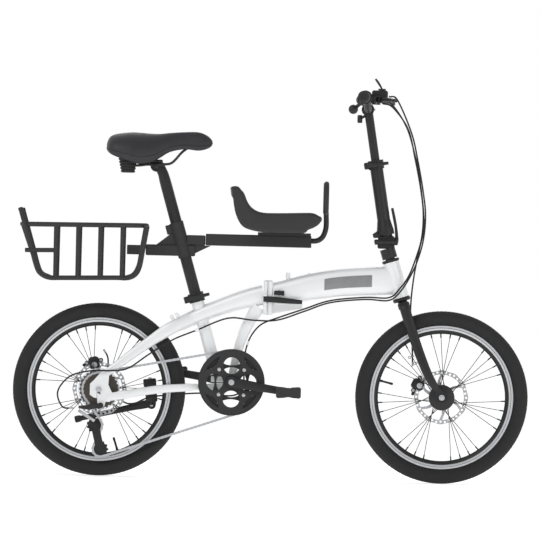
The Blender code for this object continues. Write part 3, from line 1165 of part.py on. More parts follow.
# ---------------------------------------------------------------- seatpost carrier
RAIL_HALF_W = 0.0150
REAR_RAIL_Z = (0.6515, 0.6840)
FRONT_RAIL_Z = (0.6845, 0.7190)
FRONT_RAIL_X = (-0.2570, 0.1100)
BASKET_HALF_W = 0.1400
WIRE_R = 0.0065


def carrier(parent):
    """A sleeve clamped on the seatpost, the rear rail to the basket and the front rail."""
    low, high = SEAT_LINE + SEAT_UP * 0.0970, SEAT_LINE + SEAT_UP * 0.2030
    sleeve = fuse(rod([low, high], 0.0205, 14),
                  block((low + high) / 2 - Vector((0.0240, 0, 0.0050)) + SEAT_UP * 0.035,
                        (0.0200, 0.0160, 0.0280), SEAT_UP.cross(SIDE), SEAT_UP, 0.0020),
                  block((-0.3040, 0, sum(REAR_RAIL_Z) / 2), (0.1460, 0.0260, REAR_RAIL_Z[1] - REAR_RAIL_Z[0]),
                        bevel=0.0030),
                  block((-0.2300, 0, 0.6995), (0.0560, 0.0260, 0.0290), bevel=0.0030),
                  plate([(-0.3480, 0.6820), (-0.3050, 0.7160), (-0.2700, 0.7160), (-0.2600, 0.6820)],
                        -0.0080, 0.0080),
                  plate([(-0.2600, 0.6900), (-0.2030, 0.6900), (-0.2030, 0.6838), (-0.1850, 0.6838),
                         (-0.2380, 0.6570), (-0.2560, 0.6600)],
                        -0.0080, 0.0080))
    bore = rod([low - SEAT_UP * 0.02, high + SEAT_UP * 0.02], SEATPOST_R + 0.0002, 14)
    add("carrier_clamp", cut(sleeve, bore), "matte_black", parent)

def front_rail():
    """The box rail that carries the child seat."""
    x0, x1 = -0.2018, FRONT_RAIL_X[1]
    z0, z1 = FRONT_RAIL_Z
    tube = cut(block(((x0 + x1) / 2, 0, (z0 + z1) / 2), (x1 - x0, RAIL_HALF_W * 2, z1 - z0), bevel=0.0025),
               block(((x0 + x1) / 2 - 0.004, 0, (z0 + z1) / 2), (x1 - x0, RAIL_HALF_W * 2 - 0.004, z1 - z0 - 0.004)))
    return tube


def hoop(x0, x1, z0, z1, half, corner):
    """A closed rounded rectangle of wire that slopes from its rear to its front."""
    points = []
    for cx, cy, start in ((x1 - corner, half - corner, 0), (x0 + corner, half - corner, 90),
                          (x0 + corner, corner - half, 180), (x1 - corner, corner - half, 270)):
        for step in range(4):
            a = math.radians(start + 30 * step)
            x = cx + corner * math.cos(a)
            points.append((x, cy + corner * math.sin(a), z0 + (z1 - z0) * (x - x0) / (x1 - x0)))
    return rod(points, WIRE_R, 5, closed=True)


def basket(parent):
    """A tubular basket: a wide top hoop, a smaller bottom hoop, and bars down every side."""
    x_rear, x_front, low_rear, low_front = -0.7400, -0.3760, -0.6520, -0.4300
    half, low_half = BASKET_HALF_W, 0.1080
    parts = [hoop(low_rear, low_front, 0.5790, 0.5840, low_half, 0.0300)]
    for side in (1, -1):
        for x in (-0.6390, -0.5740, -0.5090, -0.4440):
            parts.append(rod([(x, side * (half - 0.0005), 0.7370), (x, side * (low_half + 0.0005), 0.5820)],
                             WIRE_R * 0.95, 5))
    for y in (-0.0700, 0.0, 0.0700):
        parts.append(rod([(x_front - 0.001, y, 0.7380), (-0.3960, y, 0.6130), (low_front + 0.001, y, 0.5835)],
                         WIRE_R * 0.95, 5))
        parts.append(rod([(x_rear + 0.001, y, 0.7345), (low_rear - 0.001, y, 0.5795)], WIRE_R * 0.95, 5))
    for side in (1, -1):
        parts.append(rod([(-0.7450, side * 0.1280, 0.7770), (-0.7252, side * 0.1255, 0.7345),
                          (-0.6432, side * 0.0992, 0.5800)], WIRE_R * 0.95, 5))
        parts.append(rod([(-0.7290, side * 0.1124, 0.6580), (-0.6460, side * 0.1124, 0.6600)], WIRE_R * 0.9, 5))
    parts.append(rod([(-0.5420, -low_half, 0.5815), (-0.5420, low_half, 0.5815)], WIRE_R * 0.9, 5))
    parts.append(block((-0.4080, 0, 0.6670), (0.0480, 0.0400, 0.0280), (1, 0, 0), UP))
    add("basket", fuse(hoop(x_rear, x_front, 0.7345, 0.7385, half, 0.0500), *parts), "matte_black", parent)


def child_seat(parent):
    """The rail with its base plate and grab hoop, and the moulded seat that rests on it."""
    plate_top = FRONT_RAIL_Z[1] + 0.0080
    outline = [(-0.1250, 0.8440), (-0.1260, 0.8570), (-0.1150, 0.8600), (-0.0980, 0.8550),
               (-0.0880, 0.8300), (-0.0740, 0.8030), (-0.0550, 0.7880), (-0.0340, 0.7830),
               (0.0360, 0.7850), (0.1080, 0.7860), (0.1280, 0.7810), (0.1370, 0.7680),
               (0.1300, 0.7530), (0.1000, 0.7400), (0.0900, plate_top + GAP), (-0.0300, plate_top + GAP),
               (-0.0740, 0.7350), (-0.0980, 0.7500), (-0.1140, 0.7800)]
    rings = []
    for y, inset in ((-0.1000, 0.0080), (-0.0930, 0.0025), (-0.0800, 0.0), (0.0800, 0.0), (0.0930, 0.0025),
                     (0.1000, 0.0080)):
        points = []
        for k, (x, z) in enumerate(outline):
            before, after = outline[k - 1], outline[(k + 1) % len(outline)]
            dx, dz = after[0] - before[0], after[1] - before[1]
            scale = inset / math.hypot(dx, dz)
            points.append(Vector((x + dz * scale, y, z - dx * scale)))
        rings.append(points)
    add("child_seat", loft(rings), "seat_foam", parent, 60)
    stem = rod([(0.0950, 0, 0.7055), (0.1230, 0, 0.7055), (0.1390, 0, 0.7135), (0.1480, 0, 0.7285),
                (0.1525, 0, 0.7505), (0.1515, 0, 0.7900)], 0.0078, 10)
    loop = []
    for cy, cz, start in ((0.060, 0.843, 0), (-0.060, 0.843, 90), (-0.060, 0.820, 180), (0.060, 0.820, 270)):
        for step in range(4):
            a = math.radians(start + 30 * step)
            loop.append((0.1505, cy + 0.030 * math.cos(a), cz + 0.030 * math.sin(a)))
    base = block((0.0300, 0, plate_top - 0.0045), (0.1560, 0.0900, 0.0090))
    plug = block((0.1060, 0, 0.7018), (0.0080, RAIL_HALF_W * 2 - 0.001, 0.0335))
    add("front_rail", fuse(front_rail(), base, plug, stem, rod(loop, 0.0080, 7, closed=True)),
        "matte_black", parent)


# ---------------------------------------------------------------- cables
CABLE_R = 0.0024


def cables(parent, rear_parent):
    """Three housings that loop out in front of the handlepost, then part at the head tube."""
    add_cable("front_brake_cable",
              [(0.3000, 0.1130, 1.1240), (0.3350, 0.0980, 1.1180), (0.3820, 0.0620, 1.0500),
               (0.4090, 0.0300, 0.9660), (0.4250, 0.0130, 0.8910), (0.4380, 0.0080, 0.7990),
               (0.4385, 0.0100, 0.7400), (0.4250, 0.0230, 0.6700), (0.4130, 0.0460, 0.5900),
               (0.4080, 0.0620, 0.5100), (0.4140, 0.0700, 0.4300), (0.4170, 0.0710, 0.3700),
               (0.4180, 0.0700, 0.3430)],
              24, CABLE_R, parent)
    add_cable("rear_brake_cable",
              [(0.3080, -0.1130, 1.1130), (0.3390, -0.0960, 1.1020), (0.3860, -0.0560, 1.0400),
               (0.4100, -0.0220, 0.9500), (0.4290, -0.0040, 0.8600), (0.4375, 0.0010, 0.7900),
               (0.4340, 0.0000, 0.7200), (0.4180, -0.0130, 0.6600), (0.3980, -0.0340, 0.6080),
               (0.3720, -0.0350, 0.5700), (0.3420, -0.0160, 0.5440), (0.2720, -0.0050, 0.5430),
               (0.1700, -0.0050, 0.5310), (0.0950, -0.0180, 0.5050), (0.0200, -0.0200, 0.4780),
               (-0.0300, -0.0060, 0.4570), (-0.0590, -0.0040, 0.4240), (-0.0740, -0.0030, 0.3850),
               (-0.0800, 0.0060, 0.3400), (-0.0810, 0.0220, 0.2720), (-0.1120, 0.0260, 0.2440),
               (-0.2000, 0.0240, 0.2490), (-0.2900, 0.0295, 0.2420), (-0.3560, 0.0305, 0.2330),
               (-0.4000, 0.0480, 0.2140), (-0.4300, 0.0720, 0.2160),
               (-0.4520, 0.0800, 0.2400), (-0.4780, 0.0830, 0.2900), (-0.4820, 0.0820, 0.3450),
               (-0.4950, 0.0765, 0.3700)],
              40, CABLE_R, parent)
    add_cable("gear_cable",
              [(0.3268, -0.1040, 1.1340), (0.3520, -0.0960, 1.1240), (0.3960, -0.0520, 1.0300),
               (0.4170, -0.0240, 0.9500), (0.4350, -0.0120, 0.8600), (0.4440, -0.0060, 0.7900),
               (0.4400, -0.0080, 0.7200), (0.4250, -0.0220, 0.6600), (0.4050, -0.0410, 0.6120),
               (0.3760, -0.0410, 0.5640), (0.3420, -0.0240, 0.5360), (0.2720, -0.0110, 0.5370),
               (0.1700, -0.0110, 0.5250), (0.0950, -0.0240, 0.4980), (0.0150, -0.0300, 0.4700),
               (-0.0550, -0.0300, 0.4680), (-0.1300, -0.0290, 0.4720), (-0.2200, -0.0300, 0.4350),
               (-0.2900, -0.0460, 0.4050), (-0.3600, -0.0530, 0.3600), (-0.4200, -0.0640, 0.3180),
               (-0.4700, -0.0790, 0.3100), (-0.5300, -0.0830, 0.3080), (-0.5900, -0.0800, 0.2900),
               (-0.6240, -0.0720, 0.2450), (-0.6100, -0.0600, 0.2010), (-0.5780, -0.0540, 0.1975)],
              40, CABLE_R, rear_parent)


# ---------------------------------------------------------------- the whole bicycle
def build():
    for obj in list(bpy.data.objects):
        bpy.data.objects.remove(obj)
    for mesh in list(bpy.data.meshes):
        bpy.data.meshes.remove(mesh)

    rear = pivot("rear_frame", (0, 0, 0))
    fold = pivot("frame_fold", (HINGE_X, HINGE_Y, 0.5355), rear)
    steer = pivot("steering", HEAD_BASE, fold)
    post = pivot("handlepost_fold", (0.33, POST_PIN_Y, POST_SPLIT_Z), steer)
    bars = pivot("handlepost_slide", LOWER_POST_TOP, post)
    wheel_front = pivot("front_wheel", FRONT_AXLE, steer)
    wheel_rear = pivot("rear_wheel", REAR_AXLE, rear)
    cogs = pivot("freewheel", REAR_AXLE, rear)
    crank = pivot("crank", BOTTOM_BRACKET, rear)
    seat = pivot("seatpost_slide", SEAT_LINE, rear)

    rear_frame(rear)
    frame_hinge(rear, pivot("latch_lever", LATCH_PIVOT, rear),
                pivot("safety_catch", (0.0190, -0.0335, 0.5500), fold))
    axle_with_nuts("rear_axle", REAR_AXLE, 0.0585, 0.0545, DROPOUT_Y, DROPOUT_Y, rear)
    rear_wheel(wheel_rear)
    freewheel(cogs)

    front_frame(fold)
    fork(steer)
    stem_base(steer)
    axle_with_nuts("front_axle", FRONT_AXLE, 0.0465, 0.0430, (0.0503, 0.0563), (0.0503, 0.0563), steer)
    front_wheel(wheel_front)

    handlepost(post, pivot("handlepost_latch", POST_LATCH_PIVOT, post),
               pivot("post_clamp_lever", POST_CLAMP_PIVOT, post))
    handlebar(bars)
    controls(bars, pivot("right_brake_lever", brake_pivot(-1), bars),
             pivot("left_brake_lever", brake_pivot(1), bars),
             pivot("shift_lever", SHIFTER_AT + Vector((0.006, 0, 0.0193)), bars))

    bottom_bracket(rear)
    chainset(crank)
    pedal("right_pedal", RIGHT_PEDAL, -1, pivot("right_pedal", RIGHT_PEDAL, crank))
    pedal("left_pedal", LEFT_PEDAL, 1, pivot("left_pedal", LEFT_PEDAL, crank))
    link = pivot("derailleur_link", at(LINK_AFT, y=LINK_Y), rear)
    knuckle_pivot = pivot("derailleur_knuckle", at(LINK_FORE, y=LINK_Y), link)
    cage = pivot("derailleur_cage", GUIDE_PULLEY, knuckle_pivot)
    derailleur(rear, link, knuckle_pivot, cage, pivot("guide_pulley", GUIDE_PULLEY, cage),
               pivot("tension_pulley", TENSION_PULLEY, cage))
    chain(rear)

    rear_hinge = REAR_AXLE + Vector((math.cos(REAR_CALIPER), 0, math.sin(REAR_CALIPER))) * 0.072
    caliper("rear_caliper", REAR_AXLE, REAR_CALIPER, REAR_ROTOR_Y, (), rear,
            pivot("rear_caliper_arm", at(rear_hinge, y=REAR_ROTOR_Y), rear))
    front_hinge = FRONT_AXLE + Vector((math.cos(FRONT_CALIPER), 0, math.sin(FRONT_CALIPER))) * 0.072
    caliper("front_caliper", FRONT_AXLE, FRONT_CALIPER, FRONT_ROTOR_Y, (), steer,
            pivot("front_caliper_arm", at(front_hinge, y=FRONT_ROTOR_Y), steer))
    kickstand(pivot("kickstand", KICK_PIVOT, rear))

    seat_clamp(rear, pivot("seat_clamp_lever", SEAT_CLAMP_PIVOT, rear))
    seatpost(seat)
    saddle(seat)
    carrier(seat)
    basket(seat)
    child_seat(seat)
    cables(fold, rear)


REAR_CALIPER = math.radians(103)
FRONT_CALIPER = math.radians(153)
build()
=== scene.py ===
"""Looks of the folding city bicycle: a finely modelled piece with a procedural material for each
CAD node, in the frame's own metres. +X is forward, +Y is the rider's left, +Z is up.
"""
import math

import bmesh
import bpy
from mathutils import Matrix, Vector

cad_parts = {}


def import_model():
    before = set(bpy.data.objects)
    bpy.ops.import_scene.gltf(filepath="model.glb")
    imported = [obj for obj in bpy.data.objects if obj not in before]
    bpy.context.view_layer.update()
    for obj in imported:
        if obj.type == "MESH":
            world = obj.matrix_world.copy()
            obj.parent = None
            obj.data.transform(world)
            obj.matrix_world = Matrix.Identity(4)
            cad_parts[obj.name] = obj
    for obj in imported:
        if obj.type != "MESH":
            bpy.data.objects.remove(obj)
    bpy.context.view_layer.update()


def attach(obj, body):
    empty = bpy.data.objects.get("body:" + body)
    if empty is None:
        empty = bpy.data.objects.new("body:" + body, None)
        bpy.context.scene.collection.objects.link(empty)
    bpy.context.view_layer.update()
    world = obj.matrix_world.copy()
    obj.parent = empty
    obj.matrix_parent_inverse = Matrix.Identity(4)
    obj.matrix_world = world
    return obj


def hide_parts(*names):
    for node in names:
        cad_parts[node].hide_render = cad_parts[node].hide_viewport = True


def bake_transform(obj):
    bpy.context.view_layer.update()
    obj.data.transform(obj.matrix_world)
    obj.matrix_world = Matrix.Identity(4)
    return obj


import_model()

# Counts of sides and steps below are coarse, and the helpers multiply them by these.
FINENESS = 4
SUBSTEPS = 5                       # points between two stations of a lofted tube

# ---------------------------------------------------------------- driving dimensions
WHEELBASE = 1.008
WHEEL_R = 0.254                    # 20 x 1.95 tyre on a 406 mm rim
TYRE_HALF_W = 0.025
BEAD_R = 0.2045
RIM_R = 0.2115
RIM_INNER_R = 0.187
RIM_HALF_W = 0.0125
SPOKES = 28
SPOKE_GROUPS = 7
SPOKE_STEP = math.radians(8.9)     # between neighbours in a group, at the rim
ROTOR_R = 0.08
ROTOR_T = 0.0018
FRONT_ROTOR_Y = 0.0405
REAR_ROTOR_Y = 0.052

CRANK_LENGTH = 0.17
CRANK_ANGLE = math.radians(-8.5)   # right crank, up from +X
CHAIN_PITCH = 0.0127
CHAINRING_TEETH = 46
COG_TEETH = (28, 24, 22, 20, 18, 16, 14)
COG_PITCH_Y = 0.005
COG_Y = -0.026                    # largest cog
DRIVEN_COG = 1                     # the chain runs on the second cog
PULLEY_TEETH = 11
CHAINRING_Y = -0.045
GUARD_R = 0.098
BOLT_CIRCLE_R = 0.052

SEAT_TUBE_R = 0.0192
SEATPOST_R = 0.01695
SEAT_ANGLE = math.radians(16.4)    # lean back from vertical
HEAD_ANGLE = math.radians(17.3)
POST_ANGLE = math.radians(9.4)
HEAD_TUBE_R = 0.0235
BAR_HALF = 0.28
BAR_R = 0.0111
GRIP_R = 0.0165
HINGE_X = -0.0145
HINGE_Y = 0.034
HINGE_PIN_R = 0.004
GAP = 0.0003                       # between neighbours that touch

REAR_AXLE = Vector((-WHEELBASE / 2, 0, WHEEL_R))
FRONT_AXLE = Vector((WHEELBASE / 2, 0, WHEEL_R))
BOTTOM_BRACKET = Vector((-0.115, 0, 0.284))
HEAD_BASE = Vector((0.379, 0, 0.543))
HEAD_LENGTH = 0.112
SEAT_LINE = Vector((-0.232, 0, 0.556))       # a point on the seatpost's axis
POST_BASE = Vector((0.33, 0, 0.721))        # lower end of the handlepost tube
HANDLEBAR = Vector((0.2505, 0, 1.129))

UP = Vector((0, 0, 1))
SIDE = Vector((0, 1, 0))
SEAT_UP = Vector((-math.sin(SEAT_ANGLE), 0, math.cos(SEAT_ANGLE)))
HEAD_UP = Vector((-math.sin(HEAD_ANGLE), 0, math.cos(HEAD_ANGLE)))
POST_UP = Vector((-math.sin(POST_ANGLE), 0, math.cos(POST_ANGLE)))


# ---------------------------------------------------------------- materials
# colour, colour variation, lowest and highest roughness, metallic, grain, grain scale, bump depth
# in metres, coat, share of worn edges
MATERIALS = {
    "frame_white": ((0.66, 0.665, 0.69), 0.02, 0.2, 0.3, 0.0, "fine", 260, 0.00006, 0.6, 0.05),
    "black_metal": ((0.007, 0.007, 0.008), 0.25, 0.2, 0.3, 0.0, "fine", 700, 0.00004, 0.12, 0.25),
    "matte_black": ((0.02, 0.021, 0.022), 0.22, 0.42, 0.58, 0.0, "fine", 1300, 0.0001, 0.0, 0.3),
    "tyre_rubber": ((0.0085, 0.0085, 0.01), 0.3, 0.62, 0.82, 0.0, "fine", 900, 0.00012, 0.0, 0.2),
    "grip_rubber": ((0.009, 0.009, 0.01), 0.2, 0.6, 0.76, 0.0, "cells", 620, 0.00025, 0.0, 0.1),
    "rim_silver": ((0.66, 0.67, 0.69), 0.06, 0.2, 0.34, 1.0, "brushed", 900, 0.00003, 0.0, 0.1),
    "steel": ((0.4, 0.4, 0.41), 0.14, 0.24, 0.4, 1.0, "brushed", 700, 0.00003, 0.0, 0.25),
    "dark_steel": ((0.105, 0.085, 0.07), 0.35, 0.3, 0.48, 0.9, "fine", 500, 0.00004, 0.0, 0.4),
    "saddle_cover": ((0.01, 0.01, 0.011), 0.18, 0.44, 0.6, 0.0, "leather", 420, 0.00022, 0.0, 0.05),
    "seat_foam": ((0.014, 0.014, 0.015), 0.15, 0.36, 0.5, 0.0, "leather", 900, 0.00008, 0.0, 0.05),
    "cable_black": ((0.007, 0.007, 0.008), 0.2, 0.34, 0.46, 0.0, "fine", 1200, 0.00004, 0.0, 0.0),
    "stripe_grey": ((0.23, 0.235, 0.245), 0.05, 0.26, 0.36, 0.0, "fine", 400, 0.00003, 0.5, 0.05),
    "clear_plastic": ((0.8, 0.82, 0.85), 0.03, 0.12, 0.22, 0.0, "fine", 300, 0.00004, 0.2, 0.0),
    "floor_white": ((0.93, 0.93, 0.93), 0.01, 0.7, 0.85, 0.0, "fine", 60, 0.00005, 0.0, 0.0),
}
# How strongly the dark finishes mirror the bright studio.
SHINE = {"black_metal": 0.42, "matte_black": 0.3, "tyre_rubber": 0.2, "grip_rubber": 0.2,
         "saddle_cover": 0.22, "seat_foam": 0.4, "cable_black": 0.25}


def grain_node(tree, kind, scale, place):
    """The fine surface pattern: noise, stretched noise for brushed metal, cells or leather."""
    nodes, links = tree.nodes, tree.links
    if kind in ("cells", "leather"):
        node = nodes.new("ShaderNodeTexVoronoi")
        node.feature = "F1" if kind == "cells" else "SMOOTH_F1"
        output = node.outputs["Distance"]
    else:
        node = nodes.new("ShaderNodeTexNoise")
        node.inputs["Detail"].default_value = 4.0
        output = node.outputs["Fac"]
    node.inputs["Scale"].default_value = scale
    if kind == "brushed":
        mapping = nodes.new("ShaderNodeMapping")
        mapping.inputs["Scale"].default_value = (0.06, 1.0, 0.06)
        links.new(place, mapping.inputs["Vector"])
        place = mapping.outputs["Vector"]
    links.new(place, node.inputs["Vector"])
    return output


def mix_colour(tree, factor, first, second):
    """A mix of two colours, each a plain colour or another node's output."""
    mix = tree.nodes.new("ShaderNodeMix")
    mix.data_type = "RGBA"
    tree.links.new(factor, mix.inputs["Factor"])
    for socket, value in ((mix.inputs["A"], first), (mix.inputs["B"], second)):
        if isinstance(value, tuple):
            socket.default_value = (*value, 1.0)
        else:
            tree.links.new(value, socket)
    return mix.outputs["Result"]


def stretch(tree, source, low, high, to_low, to_high):
    """Maps a value from one range to another."""
    node = tree.nodes.new("ShaderNodeMapRange")
    tree.links.new(source, node.inputs["Value"])
    for name, value in (("From Min", low), ("From Max", high), ("To Min", to_low),
                        ("To Max", to_high)):
        node.inputs[name].default_value = value
    return node.outputs["Result"]


def material(name):
    """The named procedural material, made once."""
    found = bpy.data.materials.get(name)
    if found:
        return found
    colour, vary, low, high, metallic, kind, scale, depth, coat, wear = MATERIALS[name]
    made = bpy.data.materials.new(name)
    made.use_nodes = True
    tree = made.node_tree
    shader = tree.nodes["Principled BSDF"]
    place = tree.nodes.new("ShaderNodeTexCoord").outputs["Object"]
    cloudy = tree.nodes.new("ShaderNodeTexNoise")
    cloudy.inputs["Scale"].default_value = 34
    cloudy.inputs["Detail"].default_value = 6
    tree.links.new(place, cloudy.inputs["Vector"])
    cloud = stretch(tree, cloudy.outputs["Fac"], 0.35, 0.65, 0.0, 1.0)
    lighter = tuple(min(1.0, c * (1 + vary)) for c in colour)
    darker = tuple(c * (1 - vary) for c in colour)
    base = mix_colour(tree, cloud, darker, lighter)
    if wear:
        edges = tree.nodes.new("ShaderNodeNewGeometry").outputs["Pointiness"]
        worn = stretch(tree, edges, 0.54, 0.66, 0.0, wear)
        bare = tuple(min(1.0, c * 1.5 + 0.06) for c in colour)
        base = mix_colour(tree, worn, base, bare)
    tree.links.new(base, shader.inputs["Base Color"])
    grain = grain_node(tree, kind, scale, place)
    fine = stretch(tree, grain, 0.3, 0.7, low, high)
    rough = tree.nodes.new("ShaderNodeMath")
    rough.operation = "ADD"
    tree.links.new(fine, rough.inputs[0])
    tree.links.new(stretch(tree, cloudy.outputs["Fac"], 0.3, 0.7, -0.04, 0.04), rough.inputs[1])
    tree.links.new(rough.outputs["Value"], shader.inputs["Roughness"])
    bump = tree.nodes.new("ShaderNodeBump")
    bump.inputs["Distance"].default_value = depth
    bump.inputs["Strength"].default_value = 1.0
    tree.links.new(grain, bump.inputs["Height"])
    tree.links.new(bump.outputs["Normal"], shader.inputs["Normal"])
    shader.inputs["Metallic"].default_value = metallic
    shader.inputs["Specular IOR Level"].default_value = SHINE.get(name, 0.5)
    shader.inputs["Coat Weight"].default_value = coat
    shader.inputs["Coat Roughness"].default_value = 0.12
    if name == "floor_white":
        shader.inputs["Emission Color"].default_value = (1.0, 1.0, 1.0, 1.0)
        shader.inputs["Emission Strength"].default_value = 0.42
    if name == "clear_plastic":
        shader.inputs["Transmission Weight"].default_value = 0.85
    if name in ("saddle_cover", "seat_foam"):
        shader.inputs["Sheen Weight"].default_value = 0.08
    return made


# ---------------------------------------------------------------- piece helpers
def piece(name, bm, material_names, mover, smooth_angle=35, bevel=0.0):
    """A piece drawn in place that rides on a body. Faces name their material by index."""
    if isinstance(material_names, str):
        material_names = (material_names,)
    mesh = bpy.data.meshes.new(name)
    bm.to_mesh(mesh)
    bm.free()
    mesh.shade_smooth()
    mesh.set_sharp_from_angle(angle=math.radians(smooth_angle))
    for material_name in material_names:
        mesh.materials.append(material(material_name))
    obj = bpy.data.objects.new(name, mesh)
    bpy.context.scene.collection.objects.link(obj)
    if bevel:
        modifier = obj.modifiers.new("edges", "BEVEL")
        modifier.width = bevel
        modifier.segments = 2
        modifier.limit_method = "ANGLE"
        modifier.angle_limit = math.radians(38)
        modifier.harden_normals = True
    if mover:
        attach(obj, mover)
    return obj


def add(name, bm, material_name, mover, smooth_angle=35, bevel=0.0005):
    """The fine piece that stands for the CAD node of this name."""
    obj = piece("fine_" + name, bm, material_name, mover, smooth_angle, bevel)
    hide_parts(name)
    return obj


def join(*parts):
    """Puts closed shells into one mesh without a Boolean."""
    whole = bmesh.new()
    for part in parts:
        mesh = bpy.data.meshes.new("joined")
        part.to_mesh(mesh)
        part.free()
        whole.from_mesh(mesh)
        bpy.data.meshes.remove(mesh)
    return whole


# ---------------------------------------------------------------- shape helpers
def at(point, x=0.0, y=0.0, z=0.0):
    """A point moved by an offset."""
    return Vector(point) + Vector((x, y, z))


def ring(centre, u, v, ru, rv, sides, power=2.0):
    """Points round an ellipse, or round a squarer outline when power is above 2."""
    points = []
    sides = round(sides * FINENESS)
    for i in range(sides):
        a = 2 * math.pi * (i + 0.5) / sides
        c, s = math.cos(a), math.sin(a)
        cu = math.copysign(abs(c) ** (2 / power), c)
        sv = math.copysign(abs(s) ** (2 / power), s)
        points.append(Vector(centre) + u * (ru * cu) + v * (rv * sv))
    return points


def loft(rings, closed=False):
    """Skins a list of equal rings, with flat caps unless it closes on itself."""
    bm = bmesh.new()
    loops = [[bm.verts.new(p) for p in points] for points in rings]
    count = len(loops[0])
    pairs = list(zip(loops, loops[1:]))
    if closed:
        pairs.append((loops[-1], loops[0]))
    for low, high in pairs:
        for i in range(count):
            j = (i + 1) % count
            bm.faces.new((low[i], low[j], high[j], high[i]))
    if not closed:
        bm.faces.new(list(reversed(loops[0])))
        bm.faces.new(loops[-1])
    bmesh.ops.recalc_face_normals(bm, faces=bm.faces)
    return bm


def directions(points, closed=False):
    """Unit directions along a path."""
    count = len(points)
    result = []
    for i in range(count):
        before = points[i - 1] if i > 0 or closed else points[i]
        after = points[(i + 1) % count] if i < count - 1 or closed else points[i]
        result.append((after - before).normalized())
    return result


def curve_through(stations, substeps):
    """Rows of numbers on a Catmull-Rom curve through the given rows."""
    rows = [tuple(row) for row in stations]
    first = tuple(2 * a - b for a, b in zip(rows[0], rows[1]))
    last = tuple(2 * a - b for a, b in zip(rows[-1], rows[-2]))
    rows = [first, *rows, last]
    result = []
    for i in range(1, len(rows) - 2):
        for step in range(substeps):
            t = step / substeps
            result.append(tuple(0.5 * (2 * b + (c - a) * t + (2 * a - 5 * b + 4 * c - d) * t ** 2
                                       + (3 * b - a - 3 * c + d) * t ** 3)
                                for a, b, c, d in zip(*rows[i - 1:i + 3])))
    result.append(rows[-2])
    return result


def beam(stations, sides=12, power=2.6, closed=False):
    """A tube whose stations are (x, y, z, half width, half height); its width stays level."""
    stations = curve_through(stations, SUBSTEPS)
    points = [Vector(s[:3]) for s in stations]
    rings = []
    for station, tangent in zip(stations, directions(points, closed)):
        across = (SIDE - tangent * tangent.dot(SIDE)).normalized()
        upward = tangent.cross(across)
        rings.append(ring(station[:3], across, upward, station[3], station[4], sides, power))
    return loft(rings, closed)


def rod(points, radius, sides=10, closed=False):
    """A round tube along a path, without twist. radius is one number or one for each point."""
    if len(points) > 2 and not closed and not isinstance(radius, (list, tuple)):
        points = curve_through(points, SUBSTEPS)
    points = [Vector(p) for p in points]
    radii = radius if isinstance(radius, (list, tuple)) else [radius] * len(points)
    tangents = directions(points, closed)
    start = UP if abs(tangents[0].z) < 0.9 else Vector((1, 0, 0))
    u = tangents[0].cross(start).normalized()
    rings = []
    for point, tangent, r in zip(points, tangents, radii):
        u = (u - tangent * tangent.dot(u)).normalized()
        rings.append(ring(point, u, tangent.cross(u), r, r, sides))
    return loft(rings, closed)


def turned(profile, centre, axis=SIDE, steps=24, start=0.0):
    """Turns a profile of (radius, distance along the axis). A profile that starts and ends at
    radius 0 is a solid; any other is closed into a hollow ring."""
    steps = round(steps * FINENESS)
    axis = Vector(axis).normalized()
    side = Vector((1, 0, 0)) if abs(axis.x) < 0.9 else UP
    u = (side - axis * axis.dot(side)).normalized()
    v = axis.cross(u)
    bm = bmesh.new()
    loops = []
    for radius, along in profile:
        middle = Vector(centre) + axis * along
        if radius == 0:
            loops.append([bm.verts.new(middle)])
            continue
        turns = [start + 2 * math.pi * i / steps for i in range(steps)]
        loops.append([bm.verts.new(middle + (u * math.cos(a) + v * math.sin(a)) * radius)
                      for a in turns])
    solid = profile[0][0] == 0
    pairs = list(zip(loops, loops[1:]))
    if not solid:
        pairs.append((loops[-1], loops[0]))
    for low, high in pairs:
        for i in range(steps):
            j = (i + 1) % steps
            corners = (low[i % len(low)], low[j % len(low)], high[j % len(high)],
                       high[i % len(high)])
            bm.faces.new(tuple(dict.fromkeys(corners)))
    bmesh.ops.recalc_face_normals(bm, faces=bm.faces)
    return bm


def cylinder(centre, radius, half, axis=SIDE, steps=16, bore=0.0):
    """A cylinder or, with a bore, a sleeve."""
    if bore:
        return turned([(radius, half), (radius, -half), (bore, -half), (bore, half)],
                      centre, axis, steps)
    return turned([(0, -half), (radius, -half), (radius, half), (0, half)], centre, axis, steps)


def block(centre, size, along=(1, 0, 0), up=UP, bevel=0.0, segments=1):
    """A box of size (along, across, up), turned so that its length lies along a direction."""
    forward = Vector(along).normalized()
    across = Vector(up).cross(forward).normalized()
    upward = forward.cross(across)
    turn = Matrix((forward, across, upward)).transposed().to_4x4()
    bm = bmesh.new()
    bmesh.ops.create_cube(bm, size=1.0)
    for vert in bm.verts:
        vert.co = Vector((vert.co.x * size[0], vert.co.y * size[1], vert.co.z * size[2]))
    if bevel:
        bmesh.ops.bevel(bm, geom=list(bm.edges), offset=bevel, segments=segments,
                        affect="EDGES", profile=0.5, clamp_overlap=True)
    bm.transform(Matrix.Translation(Vector(centre)) @ turn)
    return bm


def circle_points(centre, radius, steps, start=0.0):
    """Points (x, z) round a circle."""
    steps = round(steps * FINENESS)
    return [(centre[0] + radius * math.cos(start + 2 * math.pi * i / steps),
             centre[1] + radius * math.sin(start + 2 * math.pi * i / steps)) for i in range(steps)]


